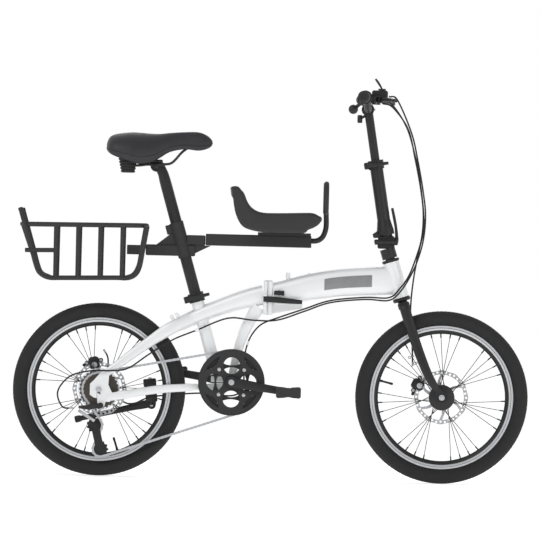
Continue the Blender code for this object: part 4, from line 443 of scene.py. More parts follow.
def plate(outline, y_low, y_high, holes=()):
    """A flat plate in the XZ plane between two Y planes, with holes through it."""
    bm = bmesh.new()
    edges = []
    for points in [outline, *holes]:
        verts = [bm.verts.new((x, y_low, z)) for x, z in points]
        edges += [bm.edges.new((a, b)) for a, b in zip(verts, verts[1:] + verts[:1])]
    bmesh.ops.triangle_fill(bm, use_beauty=True, use_dissolve=False, edges=edges)
    faces = list(bm.faces)
    grown = bmesh.ops.extrude_face_region(bm, geom=faces)
    top = [e for e in grown["geom"] if isinstance(e, bmesh.types.BMVert)]
    bmesh.ops.translate(bm, verts=top, vec=(0, y_high - y_low, 0))
    bmesh.ops.recalc_face_normals(bm, faces=bm.faces)
    return bm


def sprocket_points(centre, teeth, depth=0.0046, points_per_tooth=8):
    """The toothed outline of a sprocket, centred on its pitch circle."""
    pitch_r = CHAIN_PITCH / (2 * math.sin(math.pi / teeth))
    points = []
    for i in range(teeth * points_per_tooth):
        a = 2 * math.pi * i / (teeth * points_per_tooth)
        wave = math.cos(2 * math.pi * i / points_per_tooth)
        radius = pitch_r + math.copysign(abs(wave) ** 0.7, wave) * depth / 2
        points.append((centre[0] + radius * math.cos(a), centre[1] + radius * math.sin(a)))
    return points


def pitch_radius(teeth):
    return CHAIN_PITCH / (2 * math.sin(math.pi / teeth))


def temporary(bm):
    mesh = bpy.data.meshes.new("temporary")
    bm.to_mesh(mesh)
    bm.free()
    obj = bpy.data.objects.new("temporary", mesh)
    bpy.context.scene.collection.objects.link(obj)
    return obj


def combine(first, others, operation):
    """Applies one exact Boolean after another and returns the result as a new bmesh."""
    target = temporary(first)
    tools = [temporary(other) for other in others]
    for tool in tools:
        modifier = target.modifiers.new("combine", "BOOLEAN")
        modifier.operation = operation
        modifier.object = tool
        modifier.solver = "EXACT"
    result = bmesh.new()
    result.from_object(target, bpy.context.evaluated_depsgraph_get())
    for obj in (target, *tools):
        mesh = obj.data
        bpy.data.objects.remove(obj)
        bpy.data.meshes.remove(mesh)
    return result


def fuse(first, *others):
    return combine(first, others, "UNION")


def cut(first, *others):
    return combine(first, others, "DIFFERENCE")


# ---------------------------------------------------------------- wheels
TREAD_BLOCKS = 132
STEPS_PER_BLOCK = 4
TREAD_DEPTH = 0.0013
TREAD_FROM_R = 0.2405              # the side knobs start here


def turned_relief(profile, centre, steps, relief):
    """A closed ring like turned(), whose radius loses relief(step, index, radius, along)."""
    bm = bmesh.new()
    loops = []
    for index, (radius, along) in enumerate(profile):
        loop = []
        for step in range(steps):
            a = 2 * math.pi * step / steps
            r = radius - relief(step, index, radius, along)
            loop.append(bm.verts.new((centre[0] + r * math.cos(a), centre[1] + along,
                                      centre[2] + r * math.sin(a))))
        loops.append(loop)
    for low, high in zip(loops, loops[1:] + loops[:1]):
        for i in range(steps):
            j = (i + 1) % steps
            bm.faces.new((low[i], low[j], high[j], high[i]))
    bmesh.ops.recalc_face_normals(bm, faces=bm.faces)
    return bm


def tyre(name, axle, mover):
    """A carcass with a rounded crown, cut by slanting grooves between its tread blocks."""
    w = TYRE_HALF_W
    side = [(BEAD_R, 0.01), (0.2125, 0.0102), (0.216, 0.015), (0.221, 0.0205), (0.2265, 0.024),
            (0.232, w), (0.238, 0.0246), (0.243, 0.0226), (0.2475, 0.019), (0.251, 0.0145),
            (0.253, 0.0095), (WHEEL_R, 0.003)]
    outer = [tuple(p) for p in curve_through(side, 3)]
    inside = [(BEAD_R, 0.007), (0.2125, 0.007), (0.232, 0.0215), (0.248, 0.006)]
    profile = outer + [(r, -y) for r, y in reversed(outer)] + [(r, -y) for r, y in inside]
    profile += list(reversed(inside))
    outer_count = len(outer) * 2

    def relief(step, index, radius, along):
        if index >= outer_count or radius < TREAD_FROM_R:
            return 0.0
        if abs(along) < 0.0016:
            return TREAD_DEPTH * 0.8
        slant = int(abs(along) / 0.0034)
        return TREAD_DEPTH if (step + slant) % STEPS_PER_BLOCK == 0 else 0.0

    add(name, turned_relief(profile, axle, TREAD_BLOCKS * STEPS_PER_BLOCK, relief), "tyre_rubber",
        mover,
        40, 0.0)


def rim(name, axle, valve_angle, mover):
    """A box-section rim: silver machined flanks with a dark line, a black inner well, a valve."""
    side = [(RIM_INNER_R, 0.0), (RIM_INNER_R, 0.0046), (0.19, 0.0085), (0.1962, 0.0118),
            (0.1985, RIM_HALF_W), (0.2042, RIM_HALF_W), (0.2045, 0.0121), (0.2051, 0.0121),
            (0.2054, RIM_HALF_W), (0.2108, RIM_HALF_W), (RIM_R, 0.0119), (RIM_R, 0.0104),
            (0.2042, 0.0104), (0.203, 0.0)]
    profile = side[:-1] + [side[-1]] + [(r, -y) for r, y in reversed(side[1:-1])]
    bm = turned(profile, axle, steps=54)
    for face in bm.faces:
        middle = face.calc_center_median() - axle
        radius = math.hypot(middle.x, middle.z)
        groove = 0.2043 < radius < 0.2053 and abs(middle.y) > 0.0118
        face.material_index = 1 if radius < 0.1978 or groove else 0
    add(name, bm, ("rim_silver", "black_metal"), mover, 30, 0.0)
    out = Vector((math.cos(valve_angle), 0, math.sin(valve_angle)))
    stem = [(0, 0.0), (0.0038, 0.0), (0.0038, -0.008), (0.0031, -0.0085), (0.0031, -0.03),
            (0.0036, -0.0305), (0.0036, -0.038), (0.0024, -0.04), (0, -0.04)]
    piece(name + "_valve", turned(stem, axle + out * (RIM_INNER_R + 0.001), out, 6), "cable_black",
          mover)


def spoked_hub(name, axle, shell, flange_y, flange_r, first_angle, mover, extra=()):
    """A hub shell with its spokes laced in groups of four, each with a nipple at the rim."""
    group = 2 * math.pi / SPOKE_GROUPS
    parts = []
    for g in range(SPOKE_GROUPS):
        for k in range(SPOKES // SPOKE_GROUPS):
            lean = k - (SPOKES // SPOKE_GROUPS - 1) / 2
            rim_a = first_angle + g * group + lean * SPOKE_STEP
            hub_a = first_angle + g * group - lean * 3.2 * SPOKE_STEP
            y = flange_y[k % 2]
            hub_r = flange_r - 0.003
            root = at(axle, math.cos(hub_a) * hub_r, y, math.sin(hub_a) * hub_r)
            tip = at(axle, math.cos(rim_a) * (RIM_INNER_R + 0.001), math.copysign(0.002, y),
                     math.sin(rim_a) * (RIM_INNER_R + 0.001))
            along = (tip - root).normalized()
            parts.append(rod([root, tip], 0.001, 2))
            parts.append(rod([tip - along * 0.013, tip - along * 0.012, tip],
                             [0.0013, 0.0021, 0.0021], 2))
            head = SIDE * math.copysign(0.0016, y)
            parts.append(rod([root - head, root + head], 0.0017, 2))
    add(name, join(turned(shell, axle, steps=20), *extra, *parts), "black_metal", mover, 35, 0.0)


def rotor(name, axle, y, mover):
    """A lobed brake disc: one row of vents in its ring, slanting arms, and six bolts at the hub."""
    centre = (axle.x, axle.z)
    lobes, steps = 12, 240
    outline = []
    for i in range(steps):
        a = 2 * math.pi * i / steps
        radius = ROTOR_R - 0.0011 * (1 - math.cos(lobes * a))
        outline.append((centre[0] + radius * math.cos(a), centre[1] + radius * math.sin(a)))
    holes = [circle_points(centre, 0.0102, 8)]
    vents = 36
    for i in range(vents):
        a = 2 * math.pi * i / vents
        radius = 0.0728 + 0.001 * (-1) ** i
        holes.append(circle_points((centre[0] + radius * math.cos(a),
                                    centre[1] + radius * math.sin(a)),
                                   0.0034, 3))
    for i in range(6):
        a = 2 * math.pi * i / 6
        window = []
        for radius, low, high, count in ((0.0672, -0.46, 0.46, 12), (0.05, 0.58, 0.58, 1),
                                         (0.029, 0.62, -0.02, 8), (0.05, -0.3, -0.3, 1)):
            for step in range(count):
                b = a + low + (high - low) * step / max(count - 1, 1)
                window.append((centre[0] + radius * math.cos(b), centre[1] + radius * math.sin(b)))
        holes.append(window)
    add(name, plate(outline, y - ROTOR_T / 2, y + ROTOR_T / 2, holes), "steel", mover, 35, 0.0002)
    bolts = []
    for i in range(6):
        a = 2 * math.pi * (i + 0.8) / 6
        spot = at(axle, 0.02 * math.cos(a), y, 0.02 * math.sin(a))
        bolts.append(bolt_head(spot + SIDE * (ROTOR_T / 2), SIDE, 0.003, 0.002))
    piece(name + "_bolts", join(*bolts), "black_metal", mover)


def bolt_head(spot, axis, radius, height):
    """A button bolt head with a hexagon socket sunk into it."""
    head = turned([(0, 0.0), (radius, 0.0), (radius, height * 0.6), (radius * 0.8, height),
                   (0, height)],
                  spot, axis, 6)
    socket = turned([(0, height * 0.35), (radius * 0.48, height * 0.35),
                     (radius * 0.48, height * 1.3),
                     (0, height * 1.3)], spot, axis, 1.5)
    return cut(head, socket)


def front_wheel(mover):
    tyre("front_tyre", FRONT_AXLE, mover)
    rim("front_rim", FRONT_AXLE, math.radians(166), mover)
    shell = [(0.009, -0.0325), (0.018, -0.0325), (0.018, -0.029), (0.024, -0.0285),
             (0.024, -0.025), (0.015, -0.022), (0.015, 0.022), (0.024, 0.025),
             (0.024, 0.0285), (0.02, 0.03), (0.02, FRONT_ROTOR_Y - 0.0012),
             (0.009, FRONT_ROTOR_Y - 0.0012)]
    cover = turned([(0.0098, -0.046), (0.02, -0.046), (0.038, -0.038), (0.038, -0.0318),
                    (0.0098, -0.0318)], FRONT_AXLE, steps=18)
    spoked_hub("front_hub", FRONT_AXLE, shell, (-0.0268, 0.0268), 0.024, math.radians(87.5), mover,
               [cover])
    rotor("front_rotor", FRONT_AXLE, FRONT_ROTOR_Y, mover)


def rear_wheel(mover):
    tyre("rear_tyre", REAR_AXLE, mover)
    rim("rear_rim", REAR_AXLE, math.radians(288), mover)
    shell = [(0.0095, -0.0215), (0.017, -0.0215), (0.024, -0.0205), (0.024, -0.017),
             (0.017, -0.014), (0.017, 0.03), (0.024, 0.033), (0.024, 0.0365),
             (0.02, 0.038), (0.02, REAR_ROTOR_Y - 0.0012), (0.0095, REAR_ROTOR_Y - 0.0012)]
    spoked_hub("rear_hub", REAR_AXLE, shell, (-0.0188, 0.0348), 0.024, math.radians(108), mover)
    rotor("rear_rotor", REAR_AXLE, REAR_ROTOR_Y, mover)


def axle_with_nuts(name, axle, inner_right, inner_left, dropout_right, dropout_left, mover):
    """A threaded axle with its cones between the dropouts and its nuts outside them."""
    shaft_r, cone_r, nut_r = 0.0048, 0.0075, 0.0086
    nut_w, tip = 0.0075, 0.012
    left, right = dropout_left[1] + GAP, dropout_right[1] + GAP
    profile = [(0, -right - tip), (shaft_r, -right - tip), (shaft_r, -right - nut_w),
               (nut_r, -right - nut_w), (nut_r, -right), (shaft_r, -right),
               (shaft_r, -dropout_right[0] + GAP), (cone_r, -dropout_right[0] + GAP),
               (cone_r, -inner_right), (shaft_r, -inner_right), (shaft_r, inner_left),
               (cone_r, inner_left), (cone_r, dropout_left[0] - GAP),
               (shaft_r, dropout_left[0] - GAP), (shaft_r, left), (nut_r, left),
               (nut_r, left + nut_w), (shaft_r, left + nut_w), (shaft_r, left + tip),
               (0, left + tip)]
    add(name, turned(profile, axle, steps=8), "steel", mover)


# ---------------------------------------------------------------- rear frame
DROPOUT_Y = (0.0677, 0.073)          # inner and outer face of a rear dropout
BEAM_PATH = [(-0.026, 0, 0.544, 0.026, 0.03), (-0.06, 0, 0.536, 0.026, 0.0285),
             (-0.105, 0, 0.522, 0.0255, 0.0265), (-0.15, 0, 0.505, 0.025, 0.0245),
             (-0.195, 0, 0.487, 0.0245, 0.0235), (-0.235, 0, 0.469, 0.024, 0.022),
             (-0.27, 0, 0.452, 0.0225, 0.0205), (-0.287, 0, 0.443, 0.017, 0.015)]
STAY_PATH = [(-0.225, 0.012, 0.474, 0.009, 0.017), (-0.262, 0.021, 0.456, 0.011, 0.0185),
             (-0.289, 0.032, 0.443, 0.01, 0.019), (-0.32, 0.0385, 0.424, 0.0085, 0.018),
             (-0.36, 0.041, 0.396, 0.008, 0.0155), (-0.41, 0.05, 0.359, 0.0075, 0.014),
             (-0.455, 0.061, 0.324, 0.007, 0.012), (-0.492, 0.07, 0.295, 0.0045, 0.011)]
CHAINSTAY_PATH = [(-0.128, 0.02, 0.272, 0.009, 0.01), (-0.2, 0.0275, 0.268, 0.0085, 0.0095),
                  (-0.262, 0.037, 0.264, 0.0078, 0.0115), (-0.315, 0.04, 0.2595, 0.0075, 0.012),
                  (-0.372, 0.046, 0.251, 0.0072, 0.0118), (-0.412, 0.061, 0.243, 0.006, 0.012),
                  (-0.44, 0.064, 0.238, 0.006, 0.0122),
                  (-0.478, 0.07, 0.2315, 0.0045, 0.0118)]
DOWN_PATH = [(-0.04, 0, 0.508, 0.02, 0.022), (-0.06, 0, 0.476, 0.019, 0.0185),
             (-0.078, 0, 0.44, 0.018, 0.0165), (-0.091, 0, 0.405, 0.0175, 0.015),
             (-0.1, 0, 0.37, 0.017, 0.014), (-0.112, 0, 0.3, 0.0165, 0.014)]


def mirrored(stations):
    return [(x, -y, z, a, b) for x, y, z, a, b in stations]


def dropout(side):
    """A flat rear dropout with a slot for the axle; the right one carries the derailleur hanger."""
    x, z = REAR_AXLE.x, REAR_AXLE.z
    slot = 0.0052
    outline = [(x + 0.03, z + 0.052), (x + 0.006, z + 0.052), (x - 0.014, z + 0.028),
               (x - 0.026, z + 0.016), (x - 0.026, z - 0.016), (x - 0.014, z - 0.024),
               (x - slot, z - 0.026), (x - slot, z), (x - 0.0034, z + 0.004),
               (x, z + slot + 0.0004),
               (x + 0.0034, z + 0.004), (x + slot, z), (x + slot, z - 0.026),
               (x + 0.016, z - 0.036), (x + 0.034, z - 0.036), (x + 0.04, z - 0.01),
               (x + 0.028, z + 0.014)]
    low, high = sorted((side * DROPOUT_Y[0], side * DROPOUT_Y[1]))
    return plate(outline, low, high)


def hinge_block(x_low, x_high):
    """Half of the frame hinge, a welded end block with a curved outer wall."""
    left, right, tall = 0.0225, 0.029, 0.101
    centre = ((x_low + x_high) / 2, -(right - left) / 2, 0.5355)
    return block(centre, (x_high - x_low, right + left, tall), bevel=0.003)


def knuckle(z_low, z_high, x_from, x_to):
    """One barrel of the frame hinge with the lug that joins it to its block."""
    middle = (z_low + z_high) / 2
    half = (z_high - z_low) / 2
    barrel = cylinder((HINGE_X, HINGE_Y, middle), 0.0088, half, UP, 16)
    lug_y = HINGE_Y - 0.0014
    lug = block(((x_from + x_to) / 2, (0.015 + lug_y) / 2, middle),
                (abs(x_to - x_from), lug_y - 0.015, half * 2 - 0.0004))
    return [barrel, lug]


HINGE_SPLIT = (0.487, 0.518, 0.553, 0.584)      # heights where the knuckles meet


LATCH_PIVOT = Vector((-0.0215, -0.0365, 0.5295))


def latch_ears():
    """Two ears and a pin on the hinge's right side, which the latch lever turns on."""
    x, y, z = LATCH_PIVOT
    ears = [block((x, y + 0.0035, z + dz), (0.01, 0.013, 0.0035)) for dz in (0.0122, -0.0122)]
    return ears + [cylinder(LATCH_PIVOT, 0.0022, 0.013, UP, 10)]


def rear_frame(mover):
    """The welded rear half: beam, stays, seat tube, down tube, bottom bracket shell, dropouts."""
    z0, z1, z2, z3 = HINGE_SPLIT
    tube_low = SEAT_LINE - SEAT_UP * 0.258
    tube_high = SEAT_LINE - SEAT_UP * 0.022
    seat_tube = rod([tube_low, tube_high], SEAT_TUBE_R, 14)
    shell = cylinder(BOTTOM_BRACKET, 0.0215, 0.034, steps=20)
    parts = [hinge_block(-0.027, HINGE_X - 0.0008), seat_tube, shell,
             beam(DOWN_PATH, 8), beam(STAY_PATH, 8), beam(mirrored(STAY_PATH), 8),
             beam(CHAINSTAY_PATH, 8), beam(mirrored(CHAINSTAY_PATH), 8), dropout(1), dropout(-1)]
    parts += knuckle(z0, z1 - GAP, -0.0265, HINGE_X - 0.0008)
    parts += knuckle(z2 + GAP, z3, -0.0265, HINGE_X - 0.0008)
    parts.append(block((-0.146, 0, 0.292), (0.06, 0.022, 0.016), bevel=0.002))
    hanger = plate([(-0.5085, 0.244), (-0.507, 0.206), (-0.502, 0.198), (-0.492, 0.198),
                    (-0.486, 0.206), (-0.48, 0.23)], -DROPOUT_Y[1], -DROPOUT_Y[0])
    parts.append(hanger)
    tab = plate([(-0.516, 0.276), (-0.512, 0.302), (-0.486, 0.312), (-0.472, 0.296),
                 (-0.486, 0.276)], DROPOUT_Y[0], DROPOUT_Y[1])
    parts.append(tab)
    parts += latch_ears()
    welded = fuse(beam(BEAM_PATH, 10), *parts)
    bored = cut(welded,
                rod([tube_low + SEAT_UP * 0.005, tube_high + SEAT_UP * 0.03], SEATPOST_R + 0.0003,
                    14),
                cylinder(BOTTOM_BRACKET, 0.0178, 0.05, steps=16),
                cylinder((HINGE_X, HINGE_Y, 0.5355), HINGE_PIN_R + 0.0002, 0.08, UP, 12))
    add("rear_frame", bored, "frame_white", mover)


# ---------------------------------------------------------------- front frame
MAIN_PATH = [(-0.002, 0, 0.544, 0.026, 0.035), (0.04, 0, 0.552, 0.0265, 0.0375),
             (0.09, 0, 0.565, 0.027, 0.039), (0.14, 0, 0.5755, 0.0265, 0.04),
             (0.2, 0, 0.585, 0.0255, 0.0405), (0.27, 0, 0.5905, 0.024, 0.0415),
             (0.335, 0, 0.5935, 0.0225, 0.0425), (0.356, 0, 0.595, 0.02, 0.042)]
BOSSES = (0.044, 0.108)              # x of the two threaded bosses on the main tube
BOSS_TOP = 0.6105


def front_frame(mover):
    """The welded front half: main tube, head tube and its half of the hinge."""
    z0, z1, z2, z3 = HINGE_SPLIT
    head = rod([HEAD_BASE + HEAD_UP * 0.002, HEAD_BASE + HEAD_UP * (HEAD_LENGTH - 0.002)],
               HEAD_TUBE_R, 24)
    parts = [hinge_block(HINGE_X + 0.0008, 0.0), head]
    parts += knuckle(z1 + GAP, z2 - GAP, HINGE_X + 0.0008, 0.0)
    gusset = plate([(-0.005, 0.488), (0.088, 0.506), (0.088, 0.532), (-0.005, 0.525)],
                   -0.012, 0.012)
    parts.append(gusset)
    for x in BOSSES:
        parts.append(cylinder((x, 0, BOSS_TOP - 0.02), 0.0065, 0.02, UP, 16))
    welded = fuse(beam(MAIN_PATH, 12, 2.8), *parts)
    clearance = [block((HINGE_X, HINGE_Y - 0.0012, (low + high) / 2),
                       (0.0215, 0.025, high - low + 0.0008))
                 for low, high in ((z0 - 0.01, z1), (z2, z3 + 0.01))]
    bored = cut(welded,
                rod([HEAD_BASE - HEAD_UP * 0.03, HEAD_BASE + HEAD_UP * (HEAD_LENGTH + 0.03)],
                    0.0172, 20),
                cylinder((HINGE_X, HINGE_Y, 0.5355), HINGE_PIN_R + 0.0002, 0.08, UP, 12),
                *clearance)
    add("front_frame", bored, "frame_white", mover)


def frame_hinge(rear, lever, catch):
    """The hinge pin, the latch lever on the right side and its safety catch."""
    pin = turned([(0, 0.485), (0.0068, 0.485), (0.0068, 0.4867), (HINGE_PIN_R, 0.4867),
                  (HINGE_PIN_R, 0.5843), (0.0068, 0.5843), (0.0068, 0.586), (0, 0.586)],
                 (HINGE_X, HINGE_Y, 0), UP, 12)
    add("hinge_pin", pin, "steel", rear)
    arm = beam([(-0.027, -0.0375, 0.531, 0.004, 0.0078), (0.0, -0.0385, 0.53, 0.004, 0.0088),
                (0.045, -0.0395, 0.527, 0.0036, 0.008), (0.087, -0.041, 0.5245, 0.003, 0.006)],
               10)
    add("latch_lever", cut(arm, cylinder(LATCH_PIVOT, 0.0026, 0.02, UP, 10)), "black_metal", lever)
    hook = fuse(block((0.019, -0.0335, 0.55), (0.03, 0.003, 0.013), bevel=0.001),
                cylinder((0.019, -0.0335, 0.55), 0.0075, 0.003, SIDE, 14),
                block((0.03, -0.037, 0.544), (0.007, 0.008, 0.004), bevel=0.0006))
    add("safety_catch", hook, "black_metal", catch)


# ---------------------------------------------------------------- steering
def fork(mover):
    """Crown, steerer and two legs that sweep forward to flat dropouts."""
    crown_y = 0.04
    parts = [rod([HEAD_BASE - HEAD_UP * 0.012, HEAD_BASE + HEAD_UP * (HEAD_LENGTH + 0.03)], 0.0143,
                 14)]
    for side in (1, -1):
        leg = [(0.388, side * 0.025, 0.521, 0.012, 0.015), (0.39, side * crown_y, 0.513, 0.0095,
                                                            0.015),
               (0.406, side * 0.044, 0.465, 0.009, 0.0145), (0.43, side * 0.048, 0.398, 0.0085,
                                                             0.014),
               (0.456, side * 0.0535, 0.334, 0.008, 0.013), (0.476, side * 0.0545, 0.296, 0.0065,
                                                             0.012),
               (0.488, side * 0.0533, 0.28, 0.0028, 0.0105)]
        parts.append(beam(leg, 10, 2.3))
        low, high = sorted((side * 0.0503, side * 0.0563))
        slot = 0.0052
        x, z = FRONT_AXLE.x, FRONT_AXLE.z
        parts.append(plate([(x - 0.026, z + 0.03), (x - 0.014, z + 0.034), (x + 0.011, z + 0.012),
                            (x + 0.013, z - 0.008), (x + slot, z - 0.013), (x + slot, z),
                            (x + 0.0038, z + 0.004), (x, z + slot + 0.0004),
                            (x - 0.0038, z + 0.004),
                            (x - slot, z), (x - slot, z - 0.013),
                            (x - 0.013, z - 0.008), (x - 0.02, z + 0.01)], low, high))
    add("fork", fuse(block((0.387, 0, 0.521), (0.034, 0.08, 0.024), HEAD_UP.cross(SIDE) * -1,
                           HEAD_UP, 0.005), *parts), "black_metal", mover)


POST_PIN_Y = -0.03                   # the handlepost folds down to the right
POST_SPLIT_Z = 0.7077                  # where the two halves of its hinge meet
POST_PIN_X = (0.296, 0.364)          # the two ends of the barrel
POST_KNUCKLE_X = (0.311, 0.349)      # the middle knuckle
LOWER_POST_R = 0.019
UPPER_POST_R = 0.0128
LOWER_POST_TOP = POST_BASE + POST_UP * 0.228
UPPER_POST_LOW = POST_BASE + POST_UP * 0.07


POST_FORWARD = SIDE.cross(POST_UP)
POST_CLAMP_PIVOT = LOWER_POST_TOP - POST_UP * 0.012 - POST_FORWARD * 0.0295 - SIDE * 0.0163
POST_LATCH_PIVOT = Vector((0.3605, 0, 0.716))


def post_knuckle(x_low, x_high, z_low, z_high):
    """A barrel of the handlepost hinge and the lug that joins it to its block."""
    middle = (x_low + x_high) / 2
    barrel = cylinder((middle, POST_PIN_Y, POST_SPLIT_Z), 0.0066, (x_high - x_low) / 2, (1, 0, 0),
                      14)
    lug = block((middle, (POST_PIN_Y - 0.016) / 2, (z_low + z_high) / 2),
                (x_high - x_low - 0.0004, abs(POST_PIN_Y + 0.016), z_high - z_low))
    return [barrel, lug]


def stem_base(mover):
    """The lower half of the handlepost hinge, clamped on the steerer above the headset."""
    low = HEAD_BASE + HEAD_UP * (HEAD_LENGTH + 0.0098)
    high = HEAD_BASE + HEAD_UP * (HEAD_LENGTH + 0.04)
    x_low, x_high = POST_PIN_X
    parts = [block((0.33, 0.002, POST_SPLIT_Z - 0.0103), (0.05, 0.044, 0.02), bevel=0.0035)]
    parts += post_knuckle(x_low, POST_KNUCKLE_X[0] - GAP, POST_SPLIT_Z - 0.009, POST_SPLIT_Z - GAP)
    parts += post_knuckle(POST_KNUCKLE_X[1] + GAP, x_high, POST_SPLIT_Z - 0.009, POST_SPLIT_Z - GAP)
    body = fuse(rod([low, high], 0.0225, 14), *parts)
    bored = cut(body, rod([low - HEAD_UP * 0.02, HEAD_BASE + HEAD_UP * (HEAD_LENGTH + 0.031)],
                          0.0146, 14),
                cylinder((0.33, POST_PIN_Y, POST_SPLIT_Z), 0.0032, 0.06, (1, 0, 0), 12))
    add("stem_base", bored, "black_metal", mover)
    pin = turned([(0, x_low - 0.002), (0.005, x_low - 0.002), (0.005, x_low - GAP),
                  (0.003, x_low - GAP), (0.003, x_high + GAP), (0.005, x_high + GAP),
                  (0.005, x_high + 0.002), (0, x_high + 0.002)],
                 (0, POST_PIN_Y, POST_SPLIT_Z), (1, 0, 0), 12)
    add("handlepost_hinge_pin", pin, "steel", mover)


def post_collar():
    """The clamp round the top of the lower post, with the lug that its quick-release pulls shut."""
    low, high = LOWER_POST_TOP - POST_UP * 0.025, LOWER_POST_TOP + POST_UP * 0.001
    return [rod([low, high], 0.0232, 14),
            block((low + high) / 2 - POST_FORWARD * 0.0255, (0.018, 0.02, 0.02), POST_FORWARD,
                  POST_UP, 0.002)]


def handlepost(mover, latch_mover, lever_mover):
    """The lower post with the upper half of its hinge and its height clamp, and both levers."""
    x_low, x_high = POST_KNUCKLE_X
    parts = [rod([POST_BASE - POST_UP * 0.006, LOWER_POST_TOP], LOWER_POST_R, 14), *post_collar()]
    parts += post_knuckle(x_low, x_high, POST_SPLIT_Z + GAP, POST_SPLIT_Z + 0.009)
    for side in (1, -1):
        parts.append(block((0.358, side * 0.008, 0.716), (0.012, 0.003, 0.011)))
    parts.append(cylinder(POST_LATCH_PIVOT, 0.002, 0.0085, SIDE, 10))
    root = block((0.33, 0.002, POST_SPLIT_Z + 0.0093), (0.048, 0.043, 0.018), bevel=0.0035)
    slit = block(LOWER_POST_TOP - POST_UP * 0.012 - POST_FORWARD * 0.0215, (0.044, 0.0025, 0.032),
                 POST_FORWARD, POST_UP)
    bore = rod([POST_BASE + POST_UP * 0.012, LOWER_POST_TOP + POST_UP * 0.01], UPPER_POST_R + GAP,
               14)
    pin_hole = cylinder((0.33, POST_PIN_Y, POST_SPLIT_Z), 0.0032, 0.06, (1, 0, 0), 12)
    add("handlepost", cut(fuse(root, *parts), bore, slit, pin_hole), "black_metal", mover)
    arm = beam([(0.3622, 0, 0.7085, 0.0052, 0.005), (0.3612, 0, 0.72, 0.0054, 0.005),
                (0.358, 0, 0.75, 0.0058, 0.0042), (0.352, 0, 0.78, 0.0062, 0.0044),
                (0.3455, 0, 0.808, 0.0056, 0.004)], 10)
    add("handlepost_latch", cut(arm, cylinder(POST_LATCH_PIVOT, 0.0023, 0.02, SIDE, 10)),
        "black_metal", latch_mover)
    add("post_clamp_lever", quick_release(POST_CLAMP_PIVOT, POST_FORWARD, POST_UP, 0.066),
        "black_metal",
        lever_mover)


def quick_release(pivot_at, forward, tube_up, length):
    """A cam lever that turns on a barrel beside its clamp's lug and folds forward past the tube."""
    arm = beam([(*pivot_at, 0.003, 0.005), (*(pivot_at + forward * 0.01 - SIDE * 0.0127), 0.003,
                                            0.0062),
                (*(pivot_at + forward * length * 0.6 - SIDE * 0.0145), 0.003, 0.0056),
                (*(pivot_at + forward * length - SIDE * 0.012), 0.0022, 0.0044)], 10)
    return fuse(arm, cylinder(pivot_at, 0.006, 0.007, tube_up, 14))


# ---------------------------------------------------------------- handlebar and controls
BAR_PATH = [(0.267, 0.0, 1.096), (0.267, 0.04, 1.096), (0.2655, 0.062, 1.103),
            (0.2625, 0.098, 1.124), (0.2605, 0.12, 1.129), (0.256, 0.19, 1.129),
            (HANDLEBAR.x, BAR_HALF - 0.003, HANDLEBAR.z)]
GRIP_START = 0.166


def on_bar(y):
    """The bar's centre at a distance from the middle, on the straight outer stretch."""
    (x0, y0, z0), (x1, y1, z1) = BAR_PATH[-3], BAR_PATH[-1]
    t = (abs(y) - y0) / (y1 - y0)
    return Vector((x0 + (x1 - x0) * t, y, z0 + (z1 - z0) * t))


def along_bar(side):
    return (on_bar(side * 0.2) - on_bar(side * 0.13)).normalized()


def handlebar(mover):
    """The upper post with its bar clamp, the bar, and its grips."""
    centre = Vector(BAR_PATH[0])
    top = POST_BASE + POST_UP * ((centre - POST_BASE).dot(POST_UP) - 0.01)
    lower = fuse(rod([UPPER_POST_LOW, top], UPPER_POST_R, 14), cylinder(centre, 0.0185, 0.023, SIDE,
                                                                        16))
    bored = cut(lower, cylinder(centre, BAR_R + GAP, 0.05, SIDE, 14),
                rod([UPPER_POST_LOW - POST_UP * 0.01, top - POST_UP * 0.03], 0.0108, 14))
    add("upper_post", bored, "black_metal", mover)
    path = [(x, -y, z) for x, y, z in reversed(BAR_PATH[1:])] + BAR_PATH
    add("handlebar", rod(path, BAR_R, 14), "black_metal", mover)
    for name, side in (("right_grip", -1), ("left_grip", 1)):
        centre, axis = on_bar(side * GRIP_START), along_bar(side)
        length = (BAR_HALF - GRIP_START) / abs(axis.y)
        bore = BAR_R + GAP * 2
        profile = [(GRIP_R + 0.0035, 0.0), (GRIP_R + 0.0035, 0.004), (0.015, 0.007), (0.016, 0.03),
                   (0.0152, 0.055), (GRIP_R, 0.085), (GRIP_R, length - 0.003), (0.0135, length),
                   (0.007, length), (0.007, length - 0.0022), (bore, length - 0.0022), (bore, 0.0)]
        add(name, turned(profile, centre, axis, 14), "grip_rubber", mover)


LEVER_PIVOT_Y = 0.13                 # distance of each brake lever's pivot from the middle


def brake_bracket(side, extra=()):
    """A lever clamp on the bar with its fork, the fixed pin that the lever turns on, and extras."""
    ring_at, axis = on_bar(side * 0.143), along_bar(side)
    pivot_at = brake_pivot(side)
    body = fuse(cylinder(ring_at, 0.0165, 0.0075, axis, 14),
                block((0.2765, side * 0.14, 1.124), (0.024, 0.013, 0.015)),
                block((0.2925, side * 0.129, 1.1325), (0.025, 0.025, 0.004)),
                block((0.2925, side * 0.129, 1.1155), (0.025, 0.025, 0.004)),
                block((0.2875, side * 0.121, 1.124), (0.005, 0.01, 0.02)),
                cylinder(pivot_at, 0.0023, 0.011, UP, 10), *extra)
    return cut(body, bar_line())


def brake_pivot(side):
    return Vector((0.298, side * LEVER_PIVOT_Y, 1.124))


